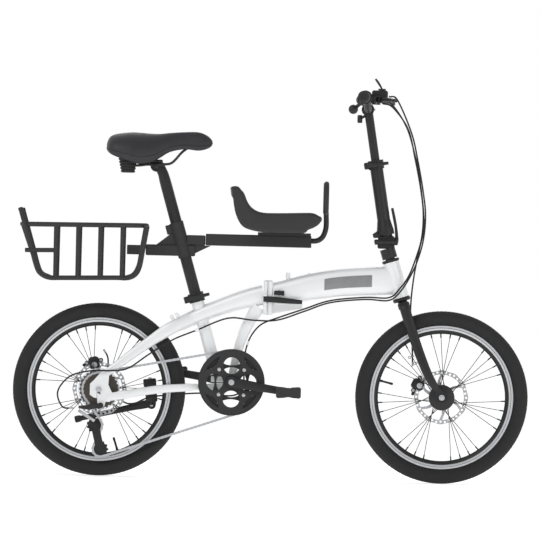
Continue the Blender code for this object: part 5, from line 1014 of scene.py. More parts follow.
def brake_blade(side):
    """A lever blade that curves out in front of the grip from its boss."""
    pivot_at = brake_pivot(side)
    blade = beam_level([(0.301, side * (LEVER_PIVOT_Y + 0.001), 1.124, 0.0052, 0.0055),
                        (0.312, side * 0.144, 1.1238, 0.0055, 0.0055),
                        (0.325, side * 0.162, 1.123, 0.005, 0.006),
                        (0.334, side * 0.195, 1.1215, 0.0045, 0.0062),
                        (0.336, side * 0.235, 1.12, 0.0045, 0.006),
                        (0.346, side * 0.256, 1.1195, 0.005, 0.0055)])
    return cut(fuse(blade, cylinder(pivot_at, 0.0068, 0.0055, UP, 14)),
               cylinder(pivot_at, 0.0026, 0.03, UP, 10))


def beam_level(stations, sides=10):
    """A lever blade: stations are (x, y, z, half thickness in plan, half height)."""
    stations = curve_through(stations, SUBSTEPS)
    points = [Vector(s[:3]) for s in stations]
    rings = []
    for station, tangent in zip(stations, directions(points)):
        across = UP.cross(tangent).normalized()
        rings.append(ring(station[:3], across, tangent.cross(across), station[3], station[4], sides,
                          2.5))
    return loft(rings)


def bar_line(extra=0.0):
    """The whole bar, as a cutter for what clamps round it."""
    path = [(x, -y, z) for x, y, z in reversed(BAR_PATH[1:])] + BAR_PATH
    return rod(path, BAR_R + GAP + extra, 14)


SHIFTER_AT = Vector((0.3, -0.104, 1.1345))


def controls(mover, right_lever, left_lever, thumb):
    """Both brake levers; the right clamp carries the gear shifter's pod and its thumb lever."""
    x, y, z = SHIFTER_AT
    pod = [block(SHIFTER_AT, (0.047, 0.028, 0.033), bevel=0.004),
           block((0.278, y, 1.129), (0.03, 0.015, 0.02), bevel=0.002)]
    add("right_brake_bracket", brake_bracket(-1, pod), "black_metal", mover)
    add("left_brake_bracket", brake_bracket(1), "black_metal", mover)
    add("right_brake_lever", brake_blade(-1), "black_metal", right_lever)
    add("left_brake_lever", brake_blade(1), "black_metal", left_lever)
    arm = beam([(x + 0.006, y, z + 0.0205, 0.006, 0.0022), (x + 0.001, y, z + 0.029, 0.0058, 0.003),
                (x - 0.007, y, z + 0.041, 0.0055, 0.0035), (x - 0.014, y, z + 0.05, 0.0045,
                                                            0.0028)], 8)
    add("shift_lever", fuse(cylinder((x + 0.006, y, z + 0.0193), 0.011, 0.0024, UP, 14), arm),
        "matte_black", thumb)


# ---------------------------------------------------------------- drivetrain
SPINDLE_R = 0.0083
CRANK_EYE_Y = 0.069                   # middle of each crank at the pedal
RIGHT_PEDAL = BOTTOM_BRACKET + Vector((math.cos(CRANK_ANGLE), 0,
                                       math.sin(CRANK_ANGLE))) * CRANK_LENGTH
LEFT_PEDAL = BOTTOM_BRACKET * 2 - RIGHT_PEDAL


def bottom_bracket(mover):
    """The sealed cartridge in the bottom bracket shell."""
    profile = [(0.0169, -0.0343), (0.0169, 0.0343), (0.02, 0.0343), (0.02, 0.038),
               (0.009, 0.038), (0.009, -0.038), (0.02, -0.038), (0.02, -0.0343)]
    add("bottom_bracket", turned(profile, BOTTOM_BRACKET, steps=14), "dark_steel", mover)


def pedal_spindle(side):
    """The pedal's spindle, screwed into the crank's eye."""
    centre = RIGHT_PEDAL if side < 0 else LEFT_PEDAL
    return turned([(0, 0.063), (0.007, 0.063), (0.007, 0.077), (0.009, 0.077), (0.009, 0.08),
                   (0.0045, 0.082), (0.0045, 0.166), (0, 0.166)], centre, SIDE * side, 12)


def crank_arm(side, extra):
    """One crank: a boss on the spindle, a tapering arm, the pedal eye and the pedal's spindle."""
    to_pedal = Vector((math.cos(CRANK_ANGLE), 0, math.sin(CRANK_ANGLE))) * -side
    y0, y1 = side * 0.065, side * CRANK_EYE_Y
    arm = beam([(*at(BOTTOM_BRACKET + to_pedal * 0.004, y=y0), 0.0068, 0.016),
                (*at(BOTTOM_BRACKET + to_pedal * 0.04, y=y0 + side * 0.0015), 0.0066, 0.0145),
                (*at(BOTTOM_BRACKET + to_pedal * 0.11, y=y1 - side * 0.001), 0.0062, 0.012),
                (*at(BOTTOM_BRACKET + to_pedal * 0.166, y=y1), 0.006, 0.0115)], 10, 3.0)
    boss = cylinder(at(BOTTOM_BRACKET, y=side * 0.06), 0.0173, 0.011, steps=15)
    eye = cylinder(at(BOTTOM_BRACKET + to_pedal * CRANK_LENGTH, y=y1), 0.0135, 0.0064, steps=14)
    return fuse(arm, boss, eye, pedal_spindle(side), *extra)


def ring_of_holes(centre, radius, hole_r, count, first, steps):
    """Round holes spaced evenly on a circle."""
    holes = []
    for k in range(count):
        a = first + 2 * math.pi * k / count
        holes.append(circle_points((centre[0] + radius * math.cos(a),
                                    centre[1] + radius * math.sin(a)),
                                   hole_r, steps))
    return holes


def pedal(name, centre, side, mover):
    """A platform pedal body with four windows, bored for its spindle."""
    inner, outer = side * 0.083, side * 0.172
    x, z = centre.x, centre.z
    corner = [(0.0365, 0.012), (0.032, 0.0165), (0.012, 0.015), (0.0, 0.0125)]
    quarter = [(dx, dz) for dx, dz in corner]
    upper = quarter + [(-dx, dz) for dx, dz in reversed(quarter[:-1])]
    outline = [(x + dx, z + dz) for dx, dz in upper] + [(x + dx, z - dz) for dx,
                                                        dz in reversed(upper)]
    low, high = sorted((inner, outer))
    windows = [block((x + dx, (low + high) / 2 + dy, z), (0.019, 0.03, 0.05))
               for dx in (-0.022, 0.022) for dy in (-0.021, 0.021)]
    body = cut(plate(outline, low, high), *windows,
               cylinder((x, (low + high) / 2 - side * 0.004, z), 0.0048, 0.043, SIDE, 12))
    add(name, body, "matte_black", mover)


GUIDE_PULLEY = Vector((-0.5135, -0.031, 0.148))
TENSION_PULLEY = Vector((-0.4963, -0.031, 0.078))
LINK_FORE = Vector((-0.52, 0, 0.164))       # parallelogram pins at the moving knuckle
LINK_AFT = Vector((-0.556, 0, 0.187))        # and at the fixed knuckle
LINK_AXIS = (LINK_FORE - LINK_AFT).normalized().cross(SIDE).normalized()
LINK_Y = -0.053


def stadium(a, b, radius):
    """A flat-sided outline with round ends about two points, in the XZ plane."""
    first = math.atan2(b.z - a.z, b.x - a.x) + math.pi / 2
    points = []
    for centre, start in ((a, first), (b, first + math.pi)):
        for step in range(9):
            turn = start + math.pi * step / 8
            points.append((centre.x + radius * math.cos(turn), centre.z + radius * math.sin(turn)))
    return points


def derailleur(root, link_mover, knuckle_mover, cage, guide, tension):
    """Fixed knuckle, shift link, moving knuckle, cage and its two jockey wheels."""
    mount = fuse(cylinder((-0.4975, -0.0802, 0.207), 0.0085, 0.0055, SIDE, 14),
                 beam([(-0.4975, -0.079, 0.206, 0.0035, 0.0075), (-0.518, -0.0785, 0.204, 0.0035,
                                                                  0.008),
                       (-0.533, -0.069, 0.201, 0.005, 0.0075), (-0.556, -0.057, 0.2, 0.0105,
                                                                0.004)], 10),
                 block((-0.556, -0.053, 0.2), (0.013, 0.024, 0.008), bevel=0.0015))
    add("derailleur_body", mount, "black_metal", root)
    a, b = at(LINK_AFT, y=LINK_Y), at(LINK_FORE, y=LINK_Y)
    link = fuse(block((a + b) / 2, ((b - a).length, 0.02, 0.009), b - a, LINK_AXIS, 0.001),
                cylinder(a, 0.0075, 0.0045, LINK_AXIS, 14), cylinder(b, 0.0075, 0.0045, LINK_AXIS,
                                                                     14))
    add("derailleur_link", link, "steel", link_mover)
    low = LINK_FORE - LINK_AXIS * 0.0105
    body = fuse(block(at(low, y=-0.053), (0.013, 0.024, 0.006), (LINK_FORE - LINK_AFT), LINK_AXIS,
                      0.0012),
                beam([(low.x - 0.0016, -0.05, low.z - 0.0025, 0.006, 0.004),
                      (GUIDE_PULLEY.x, -0.048, GUIDE_PULLEY.z, 0.006, 0.006)], 10),
                cylinder(at(GUIDE_PULLEY, y=-0.0175), 0.0074, 0.0065, SIDE, 12))
    add("derailleur_knuckle", body, "black_metal", knuckle_mover)
    plates = [plate(stadium(GUIDE_PULLEY, TENSION_PULLEY, 0.012), y - 0.0008, y + 0.0008)
              for y in (-0.0375, -0.0245)]
    pins = [cylinder(at(p, y=0), 0.0024, 0.007, SIDE, 10) for p in (GUIDE_PULLEY, TENSION_PULLEY)]
    add("derailleur_cage", fuse(plates[0], *plates[1:], *pins), "black_metal", cage)
    for name, place, mover in (("guide_pulley", GUIDE_PULLEY, guide),
                               ("tension_pulley", TENSION_PULLEY, tension)):
        wheel = plate(sprocket_points((place.x, place.z), PULLEY_TEETH), place.y - 0.001,
                      place.y + 0.001)
        body = cut(fuse(wheel, cylinder(place, 0.007, 0.0045, SIDE, 14)),
                   cylinder(place, 0.0027, 0.02, SIDE, 10))
        add(name, body, "matte_black", mover)


def belt(circles, arc_step, run_points):
    """A closed line round circles of (centre, radius, turn, y); turn is +1 where it goes round
    counter-clockwise as seen from the right, and -1 where it goes round the other way."""
    count = len(circles)
    leave, arrive = [0.0] * count, [0.0] * count
    for i in range(count):
        j = (i + 1) % count
        (c0, r0, s0, _), (c1, r1, s1, _) = circles[i], circles[j]
        d = c1 - c0
        run = math.atan2(d.z, d.x) + math.pi / 2 - math.acos((s0 * r0 - s1 * r1) / math.hypot(d.x,
                                                                                              d.z))
        leave[i] = run - s0 * math.pi / 2
        arrive[j] = run - s1 * math.pi / 2
    points = []
    for i, (centre, radius, turn, y) in enumerate(circles):
        sweep = ((leave[i] - arrive[i]) * turn) % (2 * math.pi) * turn
        steps = max(2, round(abs(sweep) * radius / arc_step))
        for k in range(steps + 1):
            a = arrive[i] + sweep * k / steps
            points.append(Vector((centre.x + radius * math.cos(a), y,
                                  centre.z + radius * math.sin(a))))
        after = circles[(i + 1) % count]
        a = arrive[(i + 1) % count]
        goal = Vector((after[0].x + after[1] * math.cos(a), after[3],
                       after[0].z + after[1] * math.sin(a)))
        last = points[-1].copy()
        points += [last.lerp(goal, k / (run_points + 1)) for k in range(1, run_points + 1)]
    return points


# ---------------------------------------------------------------- disc brakes
# ---------------------------------------------------------------- kickstand
KICK_PIVOT = Vector((-0.349, 0.056, 0.214))
KICK_FOLDED = Vector((-0.965, 0.12, -0.235)).normalized()
KICK_DOWN = Vector((0.06, 0.36, -0.93)).normalized()
KICK_AXIS = KICK_FOLDED.cross(KICK_DOWN).normalized()
KICK_LENGTH = 0.226


# ---------------------------------------------------------------- seatpost and saddle
SEATPOST_LOW = SEAT_LINE - SEAT_UP * 0.15
SEATPOST_TOP = SEAT_LINE + SEAT_UP * 0.35
RAIL_Y = 0.022                        # half the spacing of the saddle rails


SEAT_FORWARD = SIDE.cross(SEAT_UP)
SEAT_CLAMP_PIVOT = SEAT_LINE - SEAT_UP * 0.0262 - SEAT_FORWARD * 0.03 - SIDE * 0.0168


def seat_clamp(mover, lever_mover):
    """The split collar at the top of the seat tube and its quick-release lever."""
    low, high = SEAT_LINE - SEAT_UP * 0.04, SEAT_LINE - SEAT_UP * 0.0125
    middle = (low + high) / 2
    collar = fuse(rod([low, high], 0.0235, 14),
                  block(middle - SEAT_FORWARD * 0.027, (0.02, 0.021, 0.02), SEAT_FORWARD, SEAT_UP,
                        0.002))
    cutters = (block(middle - SEAT_FORWARD * 0.03, (0.042, 0.0025, 0.05), SEAT_FORWARD, SEAT_UP),
               rod([low - SEAT_UP * 0.01, SEAT_LINE - SEAT_UP * (0.022 - GAP)], SEAT_TUBE_R + GAP,
                   14),
               rod([SEAT_LINE - SEAT_UP * 0.0225, high + SEAT_UP * 0.01], SEATPOST_R + GAP, 14))
    add("seat_clamp", cut(collar, *cutters), "black_metal", mover)
    add("seat_clamp_lever", quick_release(SEAT_CLAMP_PIVOT, SEAT_FORWARD, SEAT_UP, 0.07),
        "black_metal",
        lever_mover)


def saddle_rail_points(side):
    y = side * RAIL_Y
    return [(-0.435, side * 0.038, 0.916), (-0.405, side * 0.028, 0.915), (-0.376, y, 0.9185),
            (-0.33, y, 0.92), (-0.305, y, 0.926), (-0.278, side * 0.018, 0.956),
            (-0.26, side * 0.014, 0.97)]


# ---------------------------------------------------------------- seatpost carrier
RAIL_HALF_W = 0.015
REAR_RAIL_Z = (0.6515, 0.684)
FRONT_RAIL_Z = (0.6845, 0.719)
FRONT_RAIL_X = (-0.257, 0.11)
BASKET_HALF_W = 0.14
WIRE_R = 0.0065


def carrier(mover):
    """A sleeve clamped on the seatpost, the rear rail to the basket and the front rail."""
    low, high = SEAT_LINE + SEAT_UP * 0.097, SEAT_LINE + SEAT_UP * 0.203
    sleeve = fuse(rod([low, high], 0.0205, 14),
                  block((low + high) / 2 - Vector((0.024, 0, 0.005)) + SEAT_UP * 0.035,
                        (0.02, 0.016, 0.028), SEAT_UP.cross(SIDE), SEAT_UP, 0.002),
                  block((-0.304, 0, sum(REAR_RAIL_Z) / 2), (0.146, 0.026,
                                                            REAR_RAIL_Z[1] - REAR_RAIL_Z[0]),
                        bevel=0.003),
                  block((-0.23, 0, 0.6995), (0.056, 0.026, 0.029), bevel=0.003),
                  plate([(-0.348, 0.682), (-0.305, 0.716), (-0.27, 0.716), (-0.26, 0.682)],
                        -0.008, 0.008),
                  plate([(-0.26, 0.69), (-0.203, 0.69), (-0.203, 0.6838), (-0.185, 0.6838),
                         (-0.238, 0.657), (-0.256, 0.66)],
                        -0.008, 0.008))
    bore = rod([low - SEAT_UP * 0.02, high + SEAT_UP * 0.02], SEATPOST_R + 0.0002, 14)
    add("carrier_clamp", cut(sleeve, bore), "matte_black", mover)

def front_rail():
    """The box rail that carries the child seat."""
    x0, x1 = -0.2018, FRONT_RAIL_X[1]
    z0, z1 = FRONT_RAIL_Z
    tube = cut(block(((x0 + x1) / 2, 0, (z0 + z1) / 2), (x1 - x0, RAIL_HALF_W * 2, z1 - z0),
                     bevel=0.0025),
               block(((x0 + x1) / 2 - 0.004, 0, (z0 + z1) / 2), (x1 - x0, RAIL_HALF_W * 2 - 0.004,
                                                                 z1 - z0 - 0.004)))
    return tube


def hoop(x0, x1, z0, z1, half, corner):
    """A closed rounded rectangle of wire that slopes from its rear to its front."""
    points = []
    for cx, cy, start in ((x1 - corner, half - corner, 0), (x0 + corner, half - corner, 90),
                          (x0 + corner, corner - half, 180), (x1 - corner, corner - half, 270)):
        for step in range(4):
            a = math.radians(start + 30 * step)
            x = cx + corner * math.cos(a)
            points.append((x, cy + corner * math.sin(a), z0 + (z1 - z0) * (x - x0) / (x1 - x0)))
    return rod(points, WIRE_R, 5, closed=True)


def seat_mount(mover):
    """The rail with the seat's base plate and the grab hoop in front of it."""
    plate_top = FRONT_RAIL_Z[1] + 0.008
    stem = rod([(0.095, 0, 0.7055), (0.123, 0, 0.7055), (0.139, 0, 0.7135), (0.148, 0, 0.7285),
                (0.1525, 0, 0.7505), (0.1515, 0, 0.79)], 0.0078, 10)
    loop = []
    for cy, cz, start in ((0.06, 0.843, 0), (-0.06, 0.843, 90), (-0.06, 0.82, 180),
                          (0.06, 0.82, 270)):
        for step in range(4):
            a = math.radians(start + 30 * step)
            loop.append((0.1505, cy + 0.03 * math.cos(a), cz + 0.03 * math.sin(a)))
    base = block((0.03, 0, plate_top - 0.0045), (0.156, 0.09, 0.009))
    plug = block((0.106, 0, 0.7018), (0.008, RAIL_HALF_W * 2 - 0.001, 0.0335))
    add("front_rail", fuse(front_rail(), base, plug, stem, rod(loop, 0.008, 7, closed=True)),
        "matte_black", mover)


def freewheel(mover):
    """Seven toothed cogs on a bored carrier, with a clear spoke guard behind them."""
    shells = []
    centre = (REAR_AXLE.x, REAR_AXLE.z)
    for i, teeth in enumerate(COG_TEETH):
        y = COG_Y - COG_PITCH_Y * i
        shells.append(plate(sprocket_points(centre, teeth, 0.0044, 6), y - 0.0009, y + 0.0009,
                            [circle_points(centre, 0.0195, 12)]))
    last = COG_Y - COG_PITCH_Y * (len(COG_TEETH) - 1)
    carrier_profile = [(0.0105, COG_Y + 0.0026), (0.0215, COG_Y + 0.0026), (0.0215, last - 0.0026),
                       (0.015, last - 0.004), (0.0105, last - 0.004)]
    shells.append(turned(carrier_profile, REAR_AXLE, steps=16))
    add("freewheel", join(*shells), "dark_steel", mover, 35, 0.0)
    guard = [(0.026, 0.0), (0.06, 0.0022), (0.062, 0.003), (0.062, 0.0042), (0.059, 0.0034),
             (0.026, 0.0012)]
    piece("spoke_guard", turned(guard, at(REAR_AXLE, y=COG_Y + 0.004), steps=24), "clear_plastic",
          mover)


def link_plate(a, b, y, half, waist, thickness):
    """A waisted side plate of the chain between two pins."""
    along = (b - a).normalized()
    normal = Vector((-along.z, 0, along.x))
    outline = []
    for centre, first in ((b, -70), (a, 110)):
        for step in range(7):
            turn = math.radians(first + 140 * step / 6)
            point = centre + along * (half * math.cos(turn)) + normal * (half * math.sin(turn))
            outline.append((point.x, point.z))
        middle = (a + b) / 2 + normal * (waist if first < 0 else -waist)
        outline.append((middle.x, middle.z))
    flat = plate(outline, y - thickness / 2, y + thickness / 2)
    shift = (b.y - a.y) / max((b - a).length, 1e-6)
    for vert in flat.verts:
        vert.co.y += a.y + (Vector(vert.co) - a).dot(along) * shift
    return flat


def chain(mover):
    """The closed chain: pairs of inner and outer plates, with a roller and a pin at each joint."""
    ring_r, cog_r = pitch_radius(CHAINRING_TEETH), pitch_radius(COG_TEETH[DRIVEN_COG])
    pulley_r = pitch_radius(PULLEY_TEETH)
    cog_y = COG_Y - COG_PITCH_Y * DRIVEN_COG
    line = belt([(BOTTOM_BRACKET, ring_r, 1, CHAINRING_Y), (REAR_AXLE, cog_r, 1, cog_y),
                 (GUIDE_PULLEY, pulley_r, -1, GUIDE_PULLEY.y), (TENSION_PULLEY, pulley_r, 1,
                                                                TENSION_PULLEY.y)],
                0.002, 30)
    lengths = [0.0]
    for p, q in zip(line, line[1:] + line[:1]):
        lengths.append(lengths[-1] + (q - p).length)
    count = 2 * round(lengths[-1] / CHAIN_PITCH / 2)
    pins, k = [], 0
    for i in range(count):
        goal = lengths[-1] * i / count
        while lengths[k + 1] < goal:
            k += 1
        span = max(lengths[k + 1] - lengths[k], 1e-9)
        pins.append(line[k].lerp(line[(k + 1) % len(line)], (goal - lengths[k]) / span))
    shells = []
    for i, a in enumerate(pins):
        b = pins[(i + 1) % count]
        outer = i % 2
        offset = 0.0031 if outer else 0.0021
        for side in (1, -1):
            shells.append(link_plate(a, b, side * offset, 0.0041, 0.0031, 0.0009))
        shells.append(cylinder(a, 0.0038, 0.0016, steps=3))
        shells.append(cylinder(a, 0.0017, 0.0042, steps=2))
    add("chain", join(*shells), "steel", mover, 35, 0.0)


def chainset(mover):
    """The right crank with its spider, the open toothed ring, the left crank with the spindle, and
    the round guard with its four windows and four crescents."""
    centre = (BOTTOM_BRACKET.x, BOTTOM_BRACKET.z)
    arms = [cylinder(at(BOTTOM_BRACKET, y=-0.0505), 0.02, 0.002, steps=8)]
    for k in range(4):
        a = math.radians(45 + 90 * k)
        out = Vector((math.cos(a), 0, math.sin(a)))
        arms.append(beam([(*at(BOTTOM_BRACKET + out * 0.01, y=-0.05), 0.002, 0.0105),
                          (*at(BOTTOM_BRACKET + out * 0.035, y=-0.049), 0.0022, 0.007),
                          (*at(BOTTOM_BRACKET + out * (BOLT_CIRCLE_R + 0.008), y=-0.0475), 0.0024,
                           0.0078)],
                         4, 3.0))
    add("right_crank", join(crank_arm(-1, []), *arms), "black_metal", mover)
    tabs = [circle_points(centre, 0.044, 16)]
    for k in range(4):
        a = math.pi / 2 * k
        tabs.append(arc_slot(centre, a, 0.074, 0.05, 0.58))
    ring_plate = plate(sprocket_points(centre, CHAINRING_TEETH), CHAINRING_Y - 0.001,
                       CHAINRING_Y + 0.001, tabs)
    piece("chainring", ring_plate, "black_metal", mover, 35, 0.0002)
    spindle = cylinder(at(BOTTOM_BRACKET, y=0.0035), SPINDLE_R, 0.05, steps=8)
    add("left_crank", join(crank_arm(1, []), spindle), "black_metal", mover)
    holes = [circle_points(centre, 0.019, 8)]
    holes += ring_of_holes(centre, 0.049, 0.0245, 4, 0, 10)
    holes += [arc_slot(centre, math.pi / 4 + math.pi / 2 * k, 0.0835, 0.069,
                       0.34) for k in range(4)]
    add("chain_guard", plate(circle_points(centre, GUARD_R, 32), -0.055, -0.0535, holes),
        "matte_black",
        mover, 35, 0.0004)
    lip = turned([(GUARD_R - 0.003, -0.056), (GUARD_R, -0.056), (GUARD_R, -0.052),
                  (GUARD_R - 0.003, -0.052)],
                 BOTTOM_BRACKET, steps=36)
    piece("guard_lip", lip, "matte_black", mover, 35, 0.0004)


def arc_slot(centre, middle, outer, inner, half):
    """A slot between two radii whose ends come to a point."""
    points = []
    for step in range(11):
        a = middle - half + 2 * half * step / 10
        points.append((centre[0] + outer * math.cos(a), centre[1] + outer * math.sin(a)))
    for step in range(9):
        share = 1 - 2 * (step + 0.5) / 9
        a = middle + half * 0.9 * share
        radius = outer - (outer - inner) * math.sqrt(1 - share * share)
        points.append((centre[0] + radius * math.cos(a), centre[1] + radius * math.sin(a)))
    return points


def kickstand(mover):
    """The cast black stand's leg: a flat leg, its pivot boss and a round foot; kickstand_clamp makes
    its plates above and below the left chainstay.
    """
    start = KICK_PIVOT - KICK_AXIS * 0.006
    foot = start + KICK_FOLDED * KICK_LENGTH
    stations = [(0.0, 0.0052, 0.0125), (0.03, 0.0056, 0.012), (0.06, 0.006, 0.01),
                (0.13, 0.006, 0.0085),
                (0.2, 0.0058, 0.0078), (KICK_LENGTH, 0.0056, 0.0074)]
    leg = beam([(*(start + KICK_FOLDED * reach), thick, tall) for reach, thick, tall in stations],
               6, 3.0)
    tip = turned([(0, -0.01), (0.0095, -0.01), (0.0105, 0.002), (0.0095, 0.008), (0, 0.008)],
                 foot, KICK_FOLDED, 8)
    add("kickstand_leg", join(leg, cylinder(start, 0.013, 0.0052, KICK_AXIS, 10), tip),
        "black_metal", mover)


def kickstand_clamp(mover):
    """The clamp of the stand: a top plate with its bolt, a lower block and the pivot boss."""
    parts = [block((-0.356, 0.048, 0.276), (0.038, 0.03, 0.024), (1, 0, 0.12), UP, 0.004, 2),
             block((-0.35, 0.05, 0.233), (0.034, 0.026, 0.029), (1, 0, 0.12), UP, 0.004, 2),
             cylinder(KICK_PIVOT + KICK_AXIS * 0.0062, 0.0125, 0.006, KICK_AXIS, 10),
             rod([(-0.3495, 0.046, 0.233), KICK_PIVOT + KICK_AXIS * 0.01], 0.0085, 5)]
    piece("kickstand_clamp", join(*parts), "black_metal", mover, 35, 0.0004)
    bolts = [bolt_head((-0.356, 0.048, 0.2875), UP, 0.0055, 0.004),
             bolt_head(KICK_PIVOT + KICK_AXIS * 0.0122, KICK_AXIS, 0.0048, 0.003)]
    piece("kickstand_bolts", join(*bolts), "steel", mover)


def caliper(name, axle, angle, rotor_y, mover, arm_mover):
    """A cable disc caliper over its rotor: a two-part body, a pad dial, bolts and the cable arm."""
    out = Vector((math.cos(angle), 0, math.sin(angle)))
    across = out.cross(SIDE)
    centre = axle + out * 0.078
    halves = [block(at(centre, y=rotor_y + 0.0085), (0.034, 0.012, 0.032), out, across, 0.006, 3),
              block(at(centre, y=rotor_y - 0.008), (0.032, 0.0115, 0.029), out, across, 0.0055, 3),
              block(at(centre + out * 0.013, y=rotor_y), (0.012, 0.024, 0.023), out, across, 0.003,
                    2),
              cylinder(at(centre - out * 0.006, y=rotor_y + 0.015), 0.015, 0.0058, SIDE, 10)]
    for shift in (-0.021, 0.021):
        halves.append(cylinder(at(centre + across * shift + out * 0.004, y=rotor_y + 0.002), 0.007,
                               0.006,
                               SIDE, 8))
        halves.append(block(at(centre + across * shift * 0.8 + out * 0.004, y=rotor_y + 0.002),
                            (0.01, 0.009, 0.012), out, across, 0.0015))
    slot = block(at(centre - out * 0.03, y=rotor_y), (0.076, 0.004, 0.09), out, across)
    add(name, cut(fuse(halves[0], *halves[1:]), slot), "black_metal", mover, 35, 0.0006)
    hinge = centre - out * 0.006
    small = [bolt_head(at(centre + across * shift + out * 0.004, y=rotor_y - 0.004), -SIDE, 0.0045,
                       0.0035)
             for shift in (-0.021, 0.021)]
    dial = turned([(0, 0.0), (0.0085, 0.0), (0.0085, -0.0012), (0.006, -0.0022), (0.003, -0.0022),
                   (0, -0.001)],
                  at(hinge, y=rotor_y - 0.0138), SIDE, 8)
    piece(name + "_bolts", join(*small, dial), "steel", mover)
    y = rotor_y + 0.0213
    tip = hinge + across * 0.032 + out * 0.006
    arm = join(cylinder(at(hinge, y=y + 0.0017), 0.011, 0.0017, SIDE, 8),
               beam([(*at(hinge, y=y + 0.0016), 0.0015, 0.0075), (*at(hinge.lerp(tip, 0.5),
                                                                      y=y + 0.0016), 0.0015,
                                                                  0.0048),
                     (*at(tip, y=y + 0.0016), 0.0015, 0.0055)], 4, 3.0),
               cylinder(at(tip, y=y + 0.003), 0.004, 0.0032, SIDE, 6))
    add(name + "_arm", arm, "black_metal", arm_mover)


def saddle(mover):
    """A sprung comfort saddle: a padded cover with a piped edge, its shell, rails and coil springs."""
    stations = [(-0.4985, 0.04, 0.96, 0.978), (-0.494, 0.062, 0.953, 0.991),
                (-0.485, 0.077, 0.946, 1.001), (-0.465, 0.085, 0.938, 1.008),
                (-0.425, 0.086, 0.925, 1.013), (-0.398, 0.079, 0.9195, 1.0125),
                (-0.37, 0.067, 0.924, 1.011), (-0.344, 0.055, 0.938, 1.011),
                (-0.313, 0.041, 0.957, 1.015), (-0.27, 0.031, 0.966, 1.019),
                (-0.23, 0.0275, 0.963, 1.02), (-0.206, 0.0235, 0.968, 1.012),
                (-0.193, 0.0165, 0.975, 1.002), (-0.188, 0.008, 0.982, 0.995)]
    rings, edge = [], []
    sides = 72
    for x, half, low, high in curve_through(stations, SUBSTEPS):
        seam_z = low + (high - low) * 0.22
        hollow = low + (high - low) * 0.4
        points = []
        for i in range(sides):
            a = 2 * math.pi * i / sides
            c, s = math.cos(a), math.sin(a)
            across = math.copysign(abs(c) ** (2 / 2.3), c) * half
            if s >= 0:
                dip = 0.0035 * math.exp(-(across / 0.01) ** 2)
                z = seam_z + (high - seam_z) * abs(s) ** (2 / 2.2) - dip * abs(s)
            elif s > -0.35:
                z = seam_z - (seam_z - low) * math.sin(-s / 0.35 * math.pi / 2)
                across *= 1 + s * 0.12
            elif s > -0.6:
                z = low + (hollow - low) * math.sin((-s - 0.35) / 0.25 * math.pi / 2)
            else:
                z = hollow
            points.append(Vector((x, across, z)))
        rings.append(points)
        edge.append((x, half * 0.992, seam_z))
    cover = add("saddle", loft(rings), "saddle_cover", mover, 60, 0.0)
    outline = [Vector(p) for p in edge] + [Vector((x, -y, z)) for x, y, z in reversed(edge)]
    piping = piece("saddle_piping", rod(outline, 0.0013, 2, closed=True), "grip_rubber", mover, 60)
    bridge = rod([(-0.26, 0.014, 0.97), (-0.25, 0.0, 0.9735), (-0.26, -0.014, 0.97)], 0.0035, 4)
    rear = rod([(-0.435, 0.038, 0.916), (-0.447, 0.02, 0.916), (-0.447, -0.02, 0.916),
                (-0.435, -0.038, 0.916)], 0.0035, 4)
    rails = [rod(saddle_rail_points(side), 0.0035, 4) for side in (1, -1)]
    piece("saddle_rails", join(bridge, rear, *rails), "black_metal", mover)
    profile = [(0, 0.0), (0.017, 0.0)]
    ribs = 5
    for rib in range(ribs):
        radius = 0.0205 + 0.0018 * rib
        profile += [(radius, 0.002 + 0.0088 * rib), (radius, 0.006 + 0.0088 * rib),
                    (radius - 0.0022, 0.0074 + 0.0088 * rib)]
    profile += [(0.022, 0.05), (0, 0.05)]
    springs = [turned(profile, (-0.435, side * 0.04, 0.8935), UP, 8) for side in (1, -1)]
    piece("saddle_elastomers", join(*springs), "grip_rubber", mover, 60)
    return piping


def fluted(points, radius, flutes, depth, sides=96):
    """A drawn tube with grooves along it."""
    start, end = Vector(points[0]), Vector(points[-1])
    along = (end - start).normalized()
    u = (SIDE - along * along.dot(SIDE)).normalized()
    v = along.cross(u)
    rings = []
    for centre in (start, end):
        loop = []
        for i in range(sides):
            a = 2 * math.pi * i / sides
            r = radius - depth * max(0.0, math.cos(flutes * a)) ** 2
            loop.append(centre + u * (r * math.cos(a)) + v * (r * math.sin(a)))
        rings.append(loop)
    return loft(rings)


def seatpost(mover):
    """The fluted seatpost with the clamp head that grips the saddle rails."""
    centre = Vector((-0.35, 0, 0.919))
    body = join(fluted([SEATPOST_LOW, SEATPOST_TOP - SEAT_UP * 0.03], SEATPOST_R, 10, 0.0008),
                rod([SEATPOST_TOP - SEAT_UP * 0.032, SEATPOST_TOP - SEAT_UP * 0.016, SEATPOST_TOP,
                     centre + Vector((0.006, 0, 0))], [SEATPOST_R, 0.0165, 0.0155, 0.0145], 10),
                block(centre, (0.042, 0.056, 0.012), (1, 0, 0.02), UP, 0.004, 3),
                block(at(centre, z=0.01), (0.034, 0.056, 0.009), (1, 0, 0.02), UP, 0.003, 3),
                cylinder(at(centre, x=-0.002, z=-0.004), 0.017, 0.011, SIDE, 10),
                cylinder(at(centre, x=-0.002, z=-0.004), 0.005, 0.037, SIDE, 6))
    add("seatpost", body, "black_metal", mover)
    nuts = [turned([(0, 0.0), (0.0085, 0.0), (0.0085, 0.005), (0.006, 0.0065), (0, 0.0065)],
                   at(centre, x=-0.002, y=side * 0.031, z=-0.004), SIDE * side, 1.5) for side in (1,
                                                                                                  -1)]
    piece("saddle_clamp_nuts", join(*nuts), "black_metal", mover)


